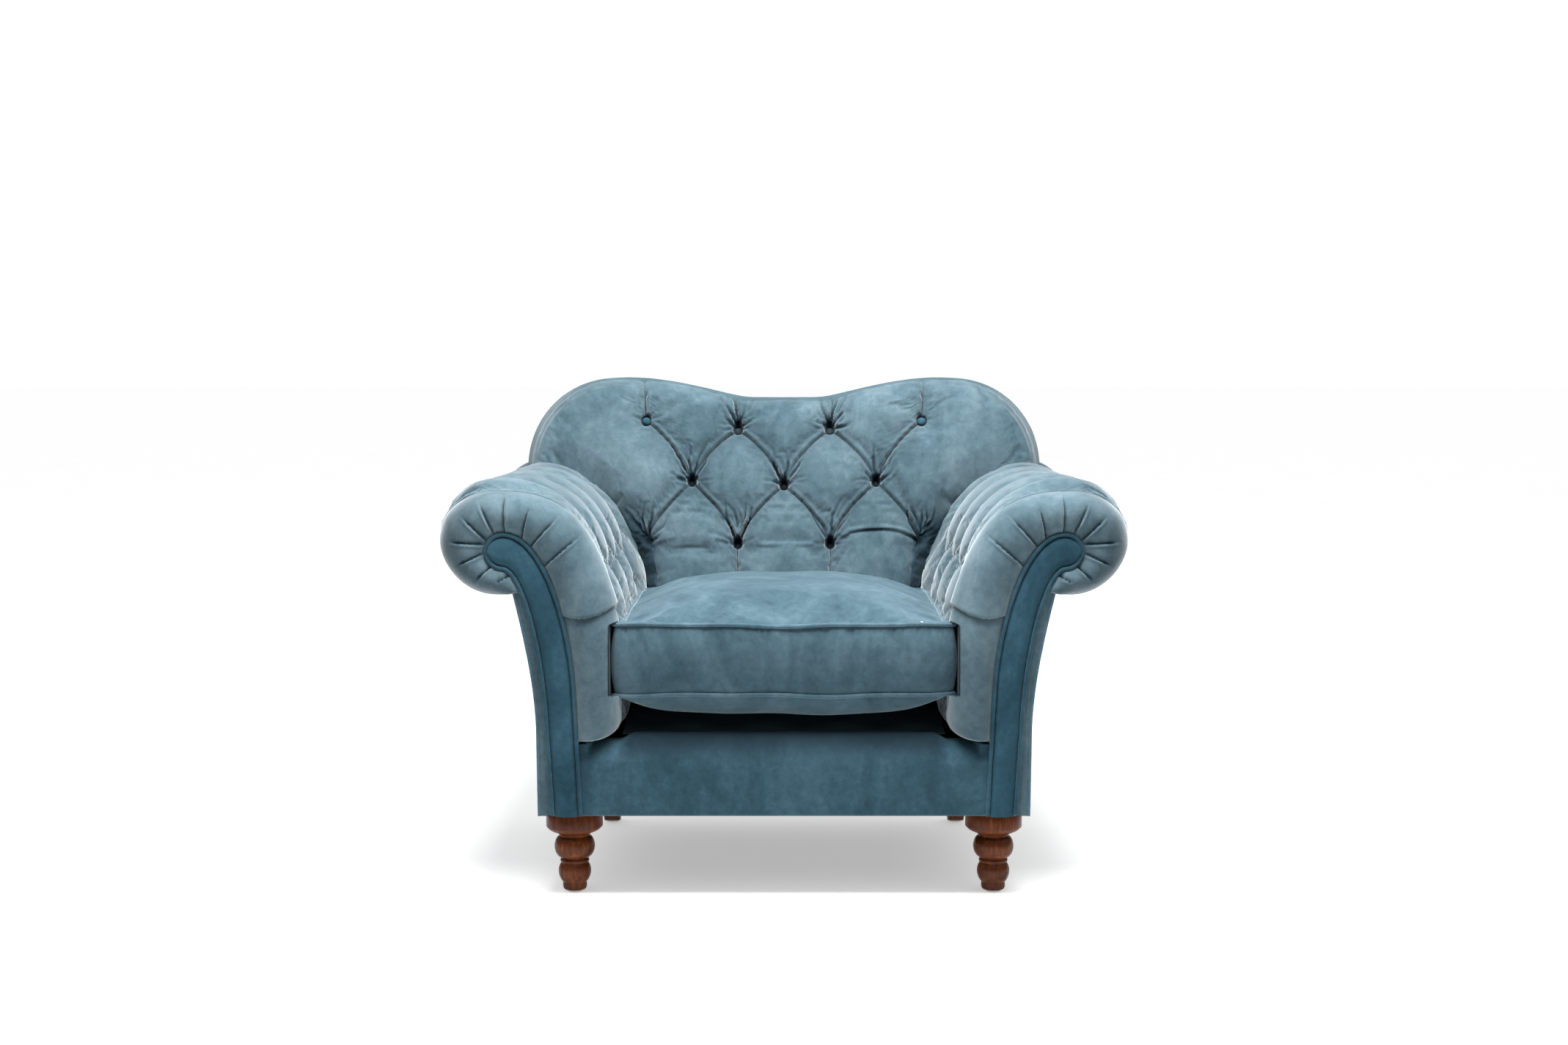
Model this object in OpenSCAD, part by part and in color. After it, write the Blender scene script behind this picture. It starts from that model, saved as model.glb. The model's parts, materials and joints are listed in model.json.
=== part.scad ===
// Button-backed scroll-arm armchair with a camel crest, a loose box cushion and turned front legs.
// X runs across the chair, +Y towards its back and +Z up. The origin is on the floor, under the
// middle of the chair. Sections are drawn from the floor-side face of the frame (z = 0 there) and
// from the plane of the arm fronts (y = 0 there), and place() moves them into the chair's frame.

/* [Overall] */
// Clear width between the two inside arms
seat_w = 560; // [520:10:620]
// Depth from the arm fronts to the inside back, at seat height
seat_d = 600; // [580:10:640]
// Height of the legs, floor to frame
leg_h = 145; // [135:5:155]
// Backward lean of the back, in degrees
rake = 13; // [10:1:15]

/* [Back] */
// Height of the two humps of the crest above the frame's underside
crest_h = 745; // [735:5:765]
// How far the middle of the crest dips below the humps
crest_dip = 42; // [30:2:50]
// Half width of the back at its widest
back_half_w = 528; // [520:2:534]
// Distance between buttons along a row
button_step = 184; // [176:2:190]

/* [Arm] */
// Radius of the arm's roll
roll_r = 94; // [90:1:96]
// Thickness of the stuffing on the inside arm
arm_pad_t = 45; // [40:1:48]

/* [Cushion] */
// Height of the cushion's boxing, seam to seam
boxing_h = 122; // [110:2:130]
// How far the top face crowns above its seam
cushion_crown = 50; // [40:2:56]
// Radius of the piping cord on the cushion
piping_r = 3.5; // [3:0.5:4]

/* [Hidden] */
$fn = 48;

hx = seat_w / 2;                 // inside arm face, from the middle
steps = 14;                      // segments in each curve of a section
far = 1500;                      // longer than any cut through the chair
gap = 0.3;                       // clearance between pieces that only lie against each other

lean_z = 355;                    // height at which seat_d is measured
back_pad_t = 95;                 // inside back, front face to frame
frame_back = 150;                // rear face of the back frame, from the inside back's front face
cover_t = 13;                    // outside back with its padding
chair_depth = seat_d + (crest_h - lean_z) * tan(rake) + (frame_back + cover_t) / cos(rake);

facing_t = 14;                   // padded facing in front of the front board
board_t = 18;                    // plywood boards at the ends of the arm
front_y = 10;                    // front of the inside arm's bull nose
board_y = facing_t;
frame_y = board_y + board_t;     // where the rails start
facing_inset = 8;              // facing, inside the edge of its board
facing_cord_r = 3.5;
facing_cord_y = 8;
roll_cx = 210;                   // roll centre, from the inside arm face
roll_cz = 482;
roll_end = -112;                 // angle at which the stuffing tucks under the roll
pad_bottom = 130;
pad_corner_r = 50;
top_rail = [56, 46];
tack_rail = [25, 30];
scroll_cx = 198;                 // end circle of the facing, from the inside arm face
scroll_cz = 457;
scroll_r = 33;

rail_t = 26;
rail_h = 113;
stump = [76, 76, 120];
stump_x = hx + 43;
side_rail_x = hx + 94;
post_x = hx + 72;
post_w = 45;
post_top = 590;
crest_inset = 25;
crest_t = 38;
crest_w = 98;                    // front face of the crest board and tack rail, in the back's layers

deck_top = 159;
deck_t = 14;
deck_y = 62;
spring_xs = [-210, -105, 0, 105, 210];
spring_r = 2;
spring_half = 24;                // half the width of a zigzag
spring_loops = 10;
spring_z = rail_h + 5;
spring_crown = 18;

seam_low = 207;                  // lower seam of the cushion's boxing
seam_high = seam_low + boxing_h;
cushion_half = hx - 2.5;
cushion_y = 22;
cushion_back = -12;              // rear face, in the back's layers
cushion_bottom = 47;             // how far the bottom face bulges below its seam
cover_wall = 9;                  // cover with its fibre wrap
zip_half = 200;
zip_z = (seam_low + seam_high) / 2;
zip_h = 8;

button_r = 11;
button_hole_r = 13;
button_depth = 32;
arm_button_depth = 22;
shank_r = 1.5;
row_z = [420, 535, 650];         // button rows on the back
arm_low_ys = [80, 226, 372, 518];
arm_high_ys = [153, 299, 445, 591];

leg_x = hx + 86;
leg_y = 72;
rear_leg_x = hx + 65;
rear_leg_y = 585;
leg_top_r = 49;
bolt_r = 4;
bolt_len = 50;
bore_play = 0.1;

// ---------- frames and shared geometry ----------

module place() translate([0, -chair_depth / 2, leg_h]) children();

module right_and_left(side) if (side > 0) children(); else mirror([1, 0, 0]) children();

// A section drawn in X and Z, extruded along Y from y0 to y1.
module along_y(y0, y1) translate([0, y1, 0]) rotate([90, 0, 0]) linear_extrude(y1 - y0) children();

// Moves to the leaning frame of the back: Y there is the distance behind the inside back's face.
module leaning() translate([0, seat_d, lean_z]) rotate([-rake, 0, 0]) children();

module back_layer(w0, w1) leaning() translate([-far / 2, w0, -far / 2]) cube([far, w1 - w0, far]);

// A section that runs back from y0 to the leaning plane w1.
module run_back(y0, w1) intersection() {
    along_y(y0, far / 1.2) children();
    back_layer(-far, w1);
}

// A section cut out between two leaning planes.
module in_layer(w0, w1) intersection() {
    along_y(0, far) children();
    back_layer(w0, w1);
}

function bezier(p, n = steps) = [for (i = [0:n]) let (t = i / n, u = 1 - t)
    u * u * u * p[0] + 3 * u * u * t * p[1] + 3 * u * t * t * p[2] + t * t * t * p[3]];
function arc(c, r, a0, a1, n = steps) = [for (i = [0:n]) let (a = a0 + (a1 - a0) * i / n)
    c + r * [cos(a), sin(a)]];
function reversed(p) = [for (i = [len(p) - 1:-1:0]) p[i]];
function moved(p, d) = [for (q = p) q + d];

// Edges of the S-shaped facing, i inside its board's edge. Points start at the bottom.
function facing_inner(i = 0) = concat([[65 + i, 0]],
    bezier([[76 + i, 215], [81 + i, 325], [125 + i, 490 - i], [198, 490 - i]]));
function facing_outer(i = 0) = concat([[121 - i, 0]],
    bezier([[132 - i, 185], [140 - i, 295], [168 - i, 415 + i], [198, 424 + i]]));
function facing_end(i = 0) = arc([scroll_cx, scroll_cz], scroll_r - i, 84, -84);
function facing_line(i = 0) = concat(facing_inner(i), facing_end(i), reversed(facing_outer(i)));

// Outer outline of the stuffed arm: up the inside arm, over the roll and under it.
function arm_skin() = concat(
    arc([pad_corner_r, pad_bottom + pad_corner_r], pad_corner_r, 264, 180),
    bezier([[0, 295], [0, 415], [70, roll_cz + roll_r - 2], [roll_cx, roll_cz + roll_r]]),
    arc([roll_cx, roll_cz], roll_r, 86, roll_end, 2 * steps));
function arm_lining() = concat(
    [[arm_pad_t, pad_bottom]],
    bezier([[arm_pad_t, 295], [arm_pad_t, 400], [100, roll_cz + roll_r - arm_pad_t],
        [roll_cx, roll_cz + roll_r - arm_pad_t]]),
    arc([roll_cx, roll_cz], roll_r - arm_pad_t, 86, roll_end, 2 * steps));
function outside_skin() = concat([[144, 0]], bezier([[146, 155], [149, 235], [167, 315], [186, 392]]));

// Crest outline in X and Z, i inside the finished edge: one half, from the side to the middle.
shoulder = 176;
function crest_half(i = 0) = concat(
    arc([back_half_w - shoulder, crest_h - shoulder - 2], shoulder - i, 0, 90),
    bezier([[back_half_w - shoulder, crest_h - 2 - i], [262, crest_h + 7 - i],
        [165, crest_h - crest_dip + 19 - i], [80, crest_h - crest_dip - i]]));
function mirrored(p) = [for (q = reversed(p)) [-q[0], q[1]]];
function crest_line(i = 0) = concat(crest_half(i), mirrored(crest_half(i)));

module strip(i = 0) polygon(moved(facing_line(i), [hx, 0]));
module roll_disc(r) translate([hx + roll_cx, roll_cz]) circle(r);
module arm_ring() polygon(moved(concat(arm_skin(), reversed(arm_lining())), [hx, 0]));
module arm_end_section() difference() {
    polygon(moved(arm_skin(), [hx, 0]));
    strip();
}
module arm_outline() {
    polygon(moved(arm_skin(), [hx, 0]));
    polygon(moved(concat(facing_outer(), reversed(outside_skin())), [hx, 0]));
    strip();
    translate([hx, pad_bottom + pad_corner_r]) square([80, 150]);
    translate([hx + arm_pad_t - 1, -far / 4]) square([90, far / 4 + 300]);
}
module box_section(x0, x1, z0, z1) translate([x0, z0]) square([x1 - x0, z1 - z0]);

// A round cord along a planar path; the path's plane is X and Y.
module cord(path, r, closed = false, sides = 8) {
    n = len(path);
    dir = [for (i = [0:n - 1]) let (
        a = path[closed ? (i + n - 1) % n : max(i - 1, 0)],
        b = path[closed ? (i + 1) % n : min(i + 1, n - 1)]) (b - a) / norm(b - a)];
    pts = [for (i = [0:n - 1]) for (k = [0:sides - 1]) let (a = 360 * k / sides)
        [path[i][0] - dir[i][1] * r * cos(a), path[i][1] + dir[i][0] * r * cos(a), r * sin(a)]];
    last = closed ? n - 1 : n - 2;
    walls = [for (i = [0:last]) for (k = [0:sides - 1]) let (
        j = ((i + 1) % n) * sides, m = (k + 1) % sides)
        [i * sides + k, j + k, j + m, i * sides + m]];
    caps = closed ? [] : [[for (k = [0:sides - 1]) k], [for (k = [sides - 1:-1:0]) (n - 1) * sides + k]];
    polyhedron(pts, concat(walls, caps), convexity = 10);
}

// ---------- timber frame ----------

module front_rail() color("burlywood") difference() {
    translate([-stump_x, frame_y, 0]) cube([2 * stump_x, rail_t, rail_h]);
    front_dowels(bore_play);
}

module rear_rail() color("burlywood")
    in_layer(112, 137) box_section(-post_x, post_x, 0, rail_h);

module side_rail(side) color("burlywood") right_and_left(side) difference() {
    run_back(frame_y + stump[1], back_pad_t) box_section(side_rail_x, side_rail_x + 25, 0, rail_h);
    side_dowels(bore_play);
}

module stump_block(side) color("tan") right_and_left(side) difference() {
    translate([stump_x, frame_y, 0]) cube(stump);
    front_dowels(bore_play);
    side_dowels(bore_play);
    translate([leg_x, leg_y, -1]) cylinder(r = 6 + bore_play, h = 17);
    translate([leg_x, leg_y, 0]) cylinder(r = bolt_r + bore_play, h = bolt_len / 2 + 3);
}

module rear_block(side) right_and_left(side) difference() {
    run_back(rear_leg_y - 55, back_pad_t) box_section(rear_leg_x - 40, side_rail_x, 0, 60);
    translate([rear_leg_x, rear_leg_y, -1]) cylinder(r = 6 + bore_play, h = 17);
    translate([rear_leg_x, rear_leg_y, 0]) cylinder(r = bolt_r + bore_play, h = bolt_len / 2 + 3);
}
module rear_leg_blocks() color("tan") for (side = [-1, 1]) rear_block(side);

module front_dowels(play = 0) for (side = [-1, 1]) for (z = [30, 84])
    translate([side * stump_x - 22 - play, frame_y + rail_t / 2, z])
        rotate([0, 90, 0]) cylinder(r = 5 + play, h = 44 + 2 * play);
module side_dowels(play = 0) for (z = [30, 84])
    translate([side_rail_x + 12.5, frame_y + stump[1] - 22 - play, z])
        rotate([-90, 0, 0]) cylinder(r = 5 + play, h = 44 + 2 * play);
module frame_dowels() color("wheat") {
    front_dowels();
    side_dowels();
    mirror([1, 0, 0]) side_dowels();
}

module arm_front_board(side) color("peru") right_and_left(side)
    along_y(board_y, frame_y) strip();
module arm_rear_board(side) color("peru") right_and_left(side)
    in_layer(frame_back - board_t, frame_back) intersection() {
        strip();
        box_section(post_x + post_w, far / 2, 0, post_top);
    }
module arm_top_rail(side) color("burlywood") right_and_left(side)
    run_back(frame_y, frame_back - board_t) translate([hx + roll_cx, roll_cz]) square(top_rail, center = true);
module arm_tack_rail(side) color("burlywood") right_and_left(side)
    run_back(frame_y + stump[1] + 1, back_pad_t)
        box_section(hx + arm_pad_t + 1, hx + arm_pad_t + 1 + tack_rail[0], 155, 155 + tack_rail[1]);

module back_post(side) color("burlywood") right_and_left(side)
    in_layer(back_pad_t, frame_back) box_section(post_x, post_x + post_w, 0, post_top);

module crest_board() color("peru") in_layer(crest_w, crest_w + crest_t) intersection() {
    polygon(crest_line(crest_inset));
    box_section(-far / 2, far / 2, post_top, far);
}
module back_tack_rail() color("burlywood")
    in_layer(crest_w, crest_w + 25) box_section(-post_x, post_x, 165, 205);
module back_stay() color("burlywood")
    in_layer(130, frame_back) box_section(-22, 22, rail_h, post_top);

// ---------- springing ----------

module back_webbing() color("saddlebrown") for (x = [-250, -150, -50, 50, 150, 250])
    in_layer(crest_w - 1.8, crest_w - gap) box_section(x - 25, x + 25, 170, post_top + 35);

// Front and rear ends of the springs, and the height of the sprung line between them.
spring_y0 = frame_y + rail_t / 2;
spring_y1 = seat_d - (lean_z - rail_h) * tan(rake) + 120 / cos(rake);
function spring_height(y) = spring_z + spring_crown * sin(180 * (y - spring_y0) / (spring_y1 - spring_y0));
function zigzag(i) = (i % 4 == 1 || i % 4 == 2) ? -spring_half : spring_half;

module spring(x) {
    count = 4 * spring_loops;
    sides = 6;
    path = [for (i = [0:count]) let (
        run = floor(i / 2) + (i % 2) * 0.35, y = spring_y0 + (spring_y1 - spring_y0) * run / (count / 2))
        [x + zigzag(i), y, spring_height(y)]];
    pts = [for (i = [0:count]) let (
        a = path[max(i - 1, 0)], b = path[min(i + 1, count)], d = (b - a) / norm(b - a),
        u = cross(d, [0, 0, 1]) / norm(cross(d, [0, 0, 1])), v = cross(u, d))
        for (k = [0:sides - 1]) path[i] + spring_r * (u * cos(60 * k) + v * sin(60 * k))];
    walls = [for (i = [0:count - 1]) for (k = [0:sides - 1])
        [i * sides + k, i * sides + (k + 1) % sides, (i + 1) * sides + (k + 1) % sides, (i + 1) * sides + k]];
    caps = [[for (k = [sides - 1:-1:0]) k], [for (k = [0:sides - 1]) count * sides + k]];
    polyhedron(pts, concat(walls, caps), convexity = 10);
}
module seat_springs() color("dimgray") for (x = spring_xs) spring(x);

module spring_clips() color("silver") for (x = spring_xs) for (y = [spring_y0, spring_y1])
    translate([x - spring_half / 2, y - 8, rail_h]) cube([spring_half, 16, spring_z - rail_h - spring_r - gap]);

module seat_deck() color("steelblue") {
    run_back(deck_y, back_pad_t - 4) box_section(-hx + 1, hx - 1, deck_top - deck_t, deck_top);
    translate([-hx + 1, deck_y - 16, 127.5]) cube([seat_w - 2, 16, deck_top - 127.5]);
}

module dust_cover() color("black") difference() {
    run_back(20, frame_back - 2) box_section(-hx - 140, hx + 140, -1.4, -gap);
    for (side = [-1, 1]) {
        translate([side * leg_x, leg_y, -5]) cylinder(r = leg_top_r + 1, h = 10);
        translate([side * rear_leg_x - 24, rear_leg_y - 28, -5]) cube([48, 58, 10]);
    }
}

// ---------- buttons ----------

// Where each back button is, in X and Z: rows of four, three and four.
half = button_step / 2;
back_buttons_at = concat(
    [for (k = [-3, -1, 1, 3]) [k * half, row_z[0]]],
    [for (k = [-2, 0, 2]) [k * half, row_z[1]]],
    [for (k = [-3, -1, 1, 3]) [k * half, row_z[2] + (abs(k) == 3 ? 15 : -2)]]);

// Moves to a back button's place on the inside back's face, with Z pointing out of the back.
module at_back_button(p)
    leaning() translate([p[0], 0, (p[1] - lean_z) / cos(rake)]) rotate([90, 0, 0]) children();

// Places on the inside arm's face: distance in from it, height, and slope of the face there.
arm_low = [6, 352, 8];
arm_high = [47, 470, 38];
module at_arm_button(y, at)
    translate([hx + at[0], y, at[1]]) rotate([0, -90 + at[2], 0]) children();
module at_arm_buttons() {
    for (y = arm_low_ys) at_arm_button(y, arm_low) children();
    for (y = arm_high_ys) at_arm_button(y, arm_high) children();
}

module button_pocket(depth, pad) {
    translate([0, 0, -depth]) cylinder(r = button_hole_r, h = depth + 30);
    translate([0, 0, -pad - 5]) cylinder(r = shank_r + gap, h = pad + 5);
}
module button(depth, pad) {
    translate([0, 0, -depth + gap]) cylinder(r = button_r, h = 4);
    translate([0, 0, -depth + gap + 4]) cylinder(r1 = button_r, r2 = 5, h = 3);
    translate([0, 0, gap - pad]) cylinder(r = shank_r, h = pad - depth + 1);
}

module back_buttons() color("steelblue") for (p = back_buttons_at)
    at_back_button(p) button(button_depth, back_pad_t);
module arm_buttons(side) color("steelblue") right_and_left(side)
    at_arm_buttons() button(arm_button_depth, arm_pad_t - 2);

// ---------- fixed upholstery ----------

module inside_back() color("steelblue") difference() {
    union() {
        in_layer(0, back_pad_t) back_outline();
        in_layer(back_pad_t, frame_back) difference() {
            intersection() {
                polygon(crest_line());
                box_section(-far / 2, far / 2, post_top - 60, far);
            }
            polygon(crest_line(crest_inset));
            box_section(-back_half_w + crest_inset, back_half_w - crest_inset, 0, 620);
        }
    }
    along_y(0, far) arm_outline();
    mirror([1, 0, 0]) along_y(0, far) arm_outline();
    for (p = back_buttons_at) at_back_button(p) button_pocket(button_depth, back_pad_t);
}
module back_outline() {
    intersection() {
        polygon(concat([[back_half_w, 540]], crest_line(), [[-back_half_w, 540]]));
        box_section(-far / 2, far / 2, 0, far);
    }
    box_section(-hx - 70, hx + 70, deck_top + gap, 560);
}

module outside_back() color("steelblue") difference() {
    in_layer(frame_back, frame_back + cover_t) polygon(concat(rear_half(), mirrored(rear_half())));
    for (side = [-1, 1]) right_and_left(side) along_y(0, far) roll_disc(roll_r);
}
function rear_half() = concat(moved(outside_skin(), [hx, 0]), [[back_half_w, roll_cz]], crest_half(2));

module inside_arm(side) color("lightsteelblue") right_and_left(side) difference() {
    union() {
        along_y(front_y, frame_y) arm_end_section();
        run_back(frame_y, frame_back - board_t) arm_ring();
        in_layer(frame_back - board_t, frame_back) arm_end_section();
    }
    in_layer(back_pad_t - gap, frame_back + 1)
        box_section(hx - 1, post_x + post_w + gap, -far / 4, post_top + gap);
    at_arm_buttons() button_pocket(arm_button_depth, arm_pad_t);
}

module outside_arm(side) color("steelblue") right_and_left(side)
    run_back(board_y, frame_back) difference() {
        polygon(moved(concat(facing_outer(), reversed(outside_skin())), [hx, 0]));
        roll_disc(roll_r);
        polygon(moved(arm_skin(), [hx, 0]));
    }

module scroll_cap(side) color("steelblue") right_and_left(side)
    in_layer(frame_back, frame_back + cover_t) roll_disc(roll_r - gap);

module arm_facing(side) color("slategray") right_and_left(side)
    along_y(0, facing_t) strip(facing_inset);

module facing_piping(side) color("darkslategray") right_and_left(side)
    translate([0, facing_cord_y, 0]) rotate([90, 0, 0])
        cord(moved(facing_line(facing_cord_r + gap), [hx, 0]), facing_cord_r);

module front_border() color("steelblue") {
    along_y(8, frame_y) polygon([[-hx - 65, 0], [hx + 65, 0], [hx + 70, 113], [hx + 71, 127],
        [-hx - 71, 127], [-hx - 70, 113]]);
    translate([-hx - 40, frame_y, rail_h]) cube([seat_w + 80, 4, 14]);
}

// ---------- loose seat cushion ----------

function crowned(half_w, low, high, sag, crown) = concat(
    [for (i = [0:2 * steps]) let (x = -half_w + half_w * i / steps)
        [x, low - sag * (1 - pow(x / half_w, 2))]],
    [for (i = [0:2 * steps]) let (x = half_w - half_w * i / steps)
        [x, high + crown * (1 - pow(x / half_w, 2))]]);

module cushion_section(half_w, inset) polygon(crowned(half_w - inset, seam_low + inset,
    seam_high - inset, cushion_bottom, cushion_crown));

// Depth of the cushion's leaning rear face at height z, and the middle and half of its depth.
function cushion_rear(z) = seat_d - (lean_z - z) * tan(rake) + cushion_back / cos(rake);
cushion_mid = (cushion_y + cushion_rear(seam_high)) / 2;
cushion_half_d = cushion_mid - cushion_y;

// Crowned both ways: one section runs back, the other across, and the cushion is where they meet.
module cushion_body(inset) intersection() {
    run_back(cushion_y + inset, cushion_back - inset) cushion_section(cushion_half, inset);
    translate([-cushion_half, cushion_mid, 0]) rotate([90, 0, 90])
        linear_extrude(2 * cushion_half) cushion_section(cushion_half_d, inset);
}

// Piping loop in plan at height z, kept to the leaning rear face.
function loop(z) = let (r = 14, x = cushion_half - piping_r, y0 = cushion_y + piping_r,
    y1 = cushion_rear(z) - piping_r) concat(
    arc([x - r, y0 + r], r, -90, 0, 5), arc([x - r, y1 - r], r, 0, 90, 5),
    arc([r - x, y1 - r], r, 90, 180, 5), arc([r - x, y0 + r], r, 180, 270, 5));
module seam_cord(z, r) translate([0, 0, z]) cord(loop(z), r, closed = true);

module cushion_cover() color("cadetblue") difference() {
    cushion_body(0);
    cushion_body(cover_wall);
    seam_cord(seam_low, piping_r + gap);
    seam_cord(seam_high, piping_r + gap);
    in_layer(cushion_back - cover_wall - 1, cushion_back + 1)
        box_section(-zip_half, zip_half, zip_z - zip_h / 2, zip_z + zip_h / 2);
}
module cushion_core() color("khaki") cushion_body(cover_wall + gap);
module cushion_piping(z) color("cadetblue") seam_cord(z, piping_r);

module zip_tape() color("midnightblue")
    in_layer(cushion_back - 5, cushion_back - 2)
        box_section(-zip_half + gap, zip_half - gap, zip_z - zip_h / 2 + gap, zip_z + zip_h / 2 - gap);
module zip_slider() color("gray") translate([zip_half - 12, 0, 0]) {
    in_layer(cushion_back - 2 + gap, cushion_back + 2) box_section(-6, 6, zip_z - 3.4, zip_z + 3.4);
    in_layer(cushion_back + 2, cushion_back + 3.5) box_section(-3, 3, zip_z - 22, zip_z + 2);
}

// ---------- legs ----------

// Turned profile: [radius, height] of each rim, as shares of the leg's height.
function turned(h) = concat([[0, 0.025 * h], [14, 0.025 * h]],
    bezier([[17, 0.025 * h], [20, 0.03 * h], [21, 0.06 * h], [21.5, 0.11 * h]], 4),
    bezier([[23, 0.14 * h], [29, 0.20 * h], [30, 0.29 * h], [25, 0.345 * h]], 8),
    [[23, 0.355 * h], [23, 0.365 * h], [24.5, 0.37 * h], [24.5, 0.40 * h], [23, 0.405 * h], [23, 0.42 * h]],
    bezier([[25, 0.425 * h], [38, 0.48 * h], [37, 0.63 * h], [27, 0.69 * h]], 10),
    [[26, 0.695 * h], [26, 0.71 * h]],
    bezier([[28, 0.715 * h], [34, 0.73 * h], [42, 0.77 * h], [leg_top_r - 3, 0.79 * h]], 6),
    [[leg_top_r, 0.81 * h], [leg_top_r, h - 3], [leg_top_r - 2, h], [0, h]]);

module leg_front(side) color("saddlebrown") translate([side * leg_x, leg_y, -leg_h]) difference() {
    rotate_extrude($fn = 96) polygon(turned(leg_h));
    translate([0, 0, leg_h - bolt_len / 2 - 2]) cylinder(r = bolt_r + bore_play, h = bolt_len);
    translate([0, 0, -1]) cylinder(r = 2, h = 16);
}

// Swept-back rear leg: its side, in Y and Z from the top middle, given a taper across.
sweep_back = 52;
module leg_rear(side) color("saddlebrown") translate([side * rear_leg_x, rear_leg_y, 0]) difference() {
    rotate([90, 0, 90]) translate([0, 0, -23]) linear_extrude(46) polygon(concat(
        bezier([[-27, 0], [-27, -0.4 * leg_h], [-8, -0.7 * leg_h], [sweep_back - 17, 3.6 - leg_h]]),
        bezier([[sweep_back + 17, 3.6 - leg_h], [14, -0.62 * leg_h], [28, -0.3 * leg_h], [29, 0]])));
    translate([0, 0, -bolt_len / 2 - 2]) cylinder(r = bolt_r + bore_play, h = bolt_len);
    for (s = [-1, 1]) translate([s * 20, -60, -leg_h - 1]) rotate([0, s * 3.2, 0])
        translate([s > 0 ? 0 : -30, 0, -20]) cube([30, 160, leg_h * 0.8]);
    translate([0, sweep_back, -leg_h - 1]) cylinder(r = 2, h = 16);
}

module at_legs() for (side = [-1, 1]) {
    translate([side * leg_x, leg_y, 0]) children();
    translate([side * rear_leg_x, rear_leg_y, 0]) children();
}
module leg_bolts() color("silver") at_legs()
    translate([0, 0, -bolt_len / 2]) cylinder(r = bolt_r, h = bolt_len);
module leg_inserts() color("goldenrod") at_legs() difference() {
    cylinder(r = 6, h = 15);
    translate([0, 0, -1]) cylinder(r = bolt_r + bore_play, h = 17);
}
module leg_glides() color("whitesmoke") for (side = [-1, 1])
    for (at = [[leg_x, leg_y], [rear_leg_x, rear_leg_y + sweep_back]])
        translate([side * at[0], at[1], -leg_h]) {
            cylinder(r = 12, h = 3.5);
            cylinder(r = 1.9, h = 13);
        }

// ---------- nodes ----------

place() {
    front_rail();
    rear_rail();
    side_rail(-1);  // side_rail_left
    side_rail(1);  // side_rail_right
    stump_block(-1);  // arm_stump_left
    stump_block(1);  // arm_stump_right
    rear_leg_blocks();
    frame_dowels();
    arm_front_board(-1);  // arm_front_board_left
    arm_front_board(1);  // arm_front_board_right
    arm_rear_board(-1);  // arm_rear_board_left
    arm_rear_board(1);  // arm_rear_board_right
    arm_top_rail(-1);  // arm_top_rail_left
    arm_top_rail(1);  // arm_top_rail_right
    arm_tack_rail(-1);  // arm_tack_rail_left
    arm_tack_rail(1);  // arm_tack_rail_right
    back_post(-1);  // back_post_left
    back_post(1);  // back_post_right
    crest_board();
    back_tack_rail();
    back_stay();
    back_webbing();
    seat_springs();
    spring_clips();
    seat_deck();
    dust_cover();
    inside_back();
    back_buttons();
    outside_back();
    inside_arm(-1);  // inside_arm_left
    inside_arm(1);  // inside_arm_right
    arm_buttons(-1);  // arm_buttons_left
    arm_buttons(1);  // arm_buttons_right
    outside_arm(-1);  // outside_arm_left
    outside_arm(1);  // outside_arm_right
    scroll_cap(-1);  // scroll_cap_left
    scroll_cap(1);  // scroll_cap_right
    arm_facing(-1);  // arm_facing_left
    arm_facing(1);  // arm_facing_right
    facing_piping(-1);  // facing_piping_left
    facing_piping(1);  // facing_piping_right
    front_border();
    cushion_cover();
    cushion_core();
    cushion_piping(seam_high);  // cushion_piping_top
    cushion_piping(seam_low);  // cushion_piping_bottom
    zip_tape();
    zip_slider();
    leg_front(-1);  // leg_front_left
    leg_front(1);  // leg_front_right
    leg_rear(-1);  // leg_rear_left
    leg_rear(1);  // leg_rear_right
    leg_bolts();
    leg_inserts();
    leg_glides();
}
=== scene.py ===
"""Looks for the button-backed scroll-arm armchair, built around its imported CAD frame."""
import json
import math

import bpy
import numpy as np
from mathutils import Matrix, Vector


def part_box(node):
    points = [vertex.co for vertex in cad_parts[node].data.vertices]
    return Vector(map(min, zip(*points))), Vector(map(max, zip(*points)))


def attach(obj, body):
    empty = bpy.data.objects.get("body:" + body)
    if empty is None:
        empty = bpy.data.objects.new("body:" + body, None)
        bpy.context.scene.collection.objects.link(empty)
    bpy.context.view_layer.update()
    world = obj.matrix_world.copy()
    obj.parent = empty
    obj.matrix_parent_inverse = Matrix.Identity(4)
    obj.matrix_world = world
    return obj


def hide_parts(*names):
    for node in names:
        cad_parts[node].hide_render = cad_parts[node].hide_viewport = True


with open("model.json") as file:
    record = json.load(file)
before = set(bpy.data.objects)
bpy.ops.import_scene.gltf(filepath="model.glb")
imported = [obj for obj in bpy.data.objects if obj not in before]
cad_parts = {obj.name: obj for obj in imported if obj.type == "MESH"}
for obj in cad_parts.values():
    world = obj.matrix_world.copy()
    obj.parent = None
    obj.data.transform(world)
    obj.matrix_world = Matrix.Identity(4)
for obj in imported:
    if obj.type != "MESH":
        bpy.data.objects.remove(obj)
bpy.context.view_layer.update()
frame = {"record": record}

# ---------- sizes read from the frame, in metres ----------

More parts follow.
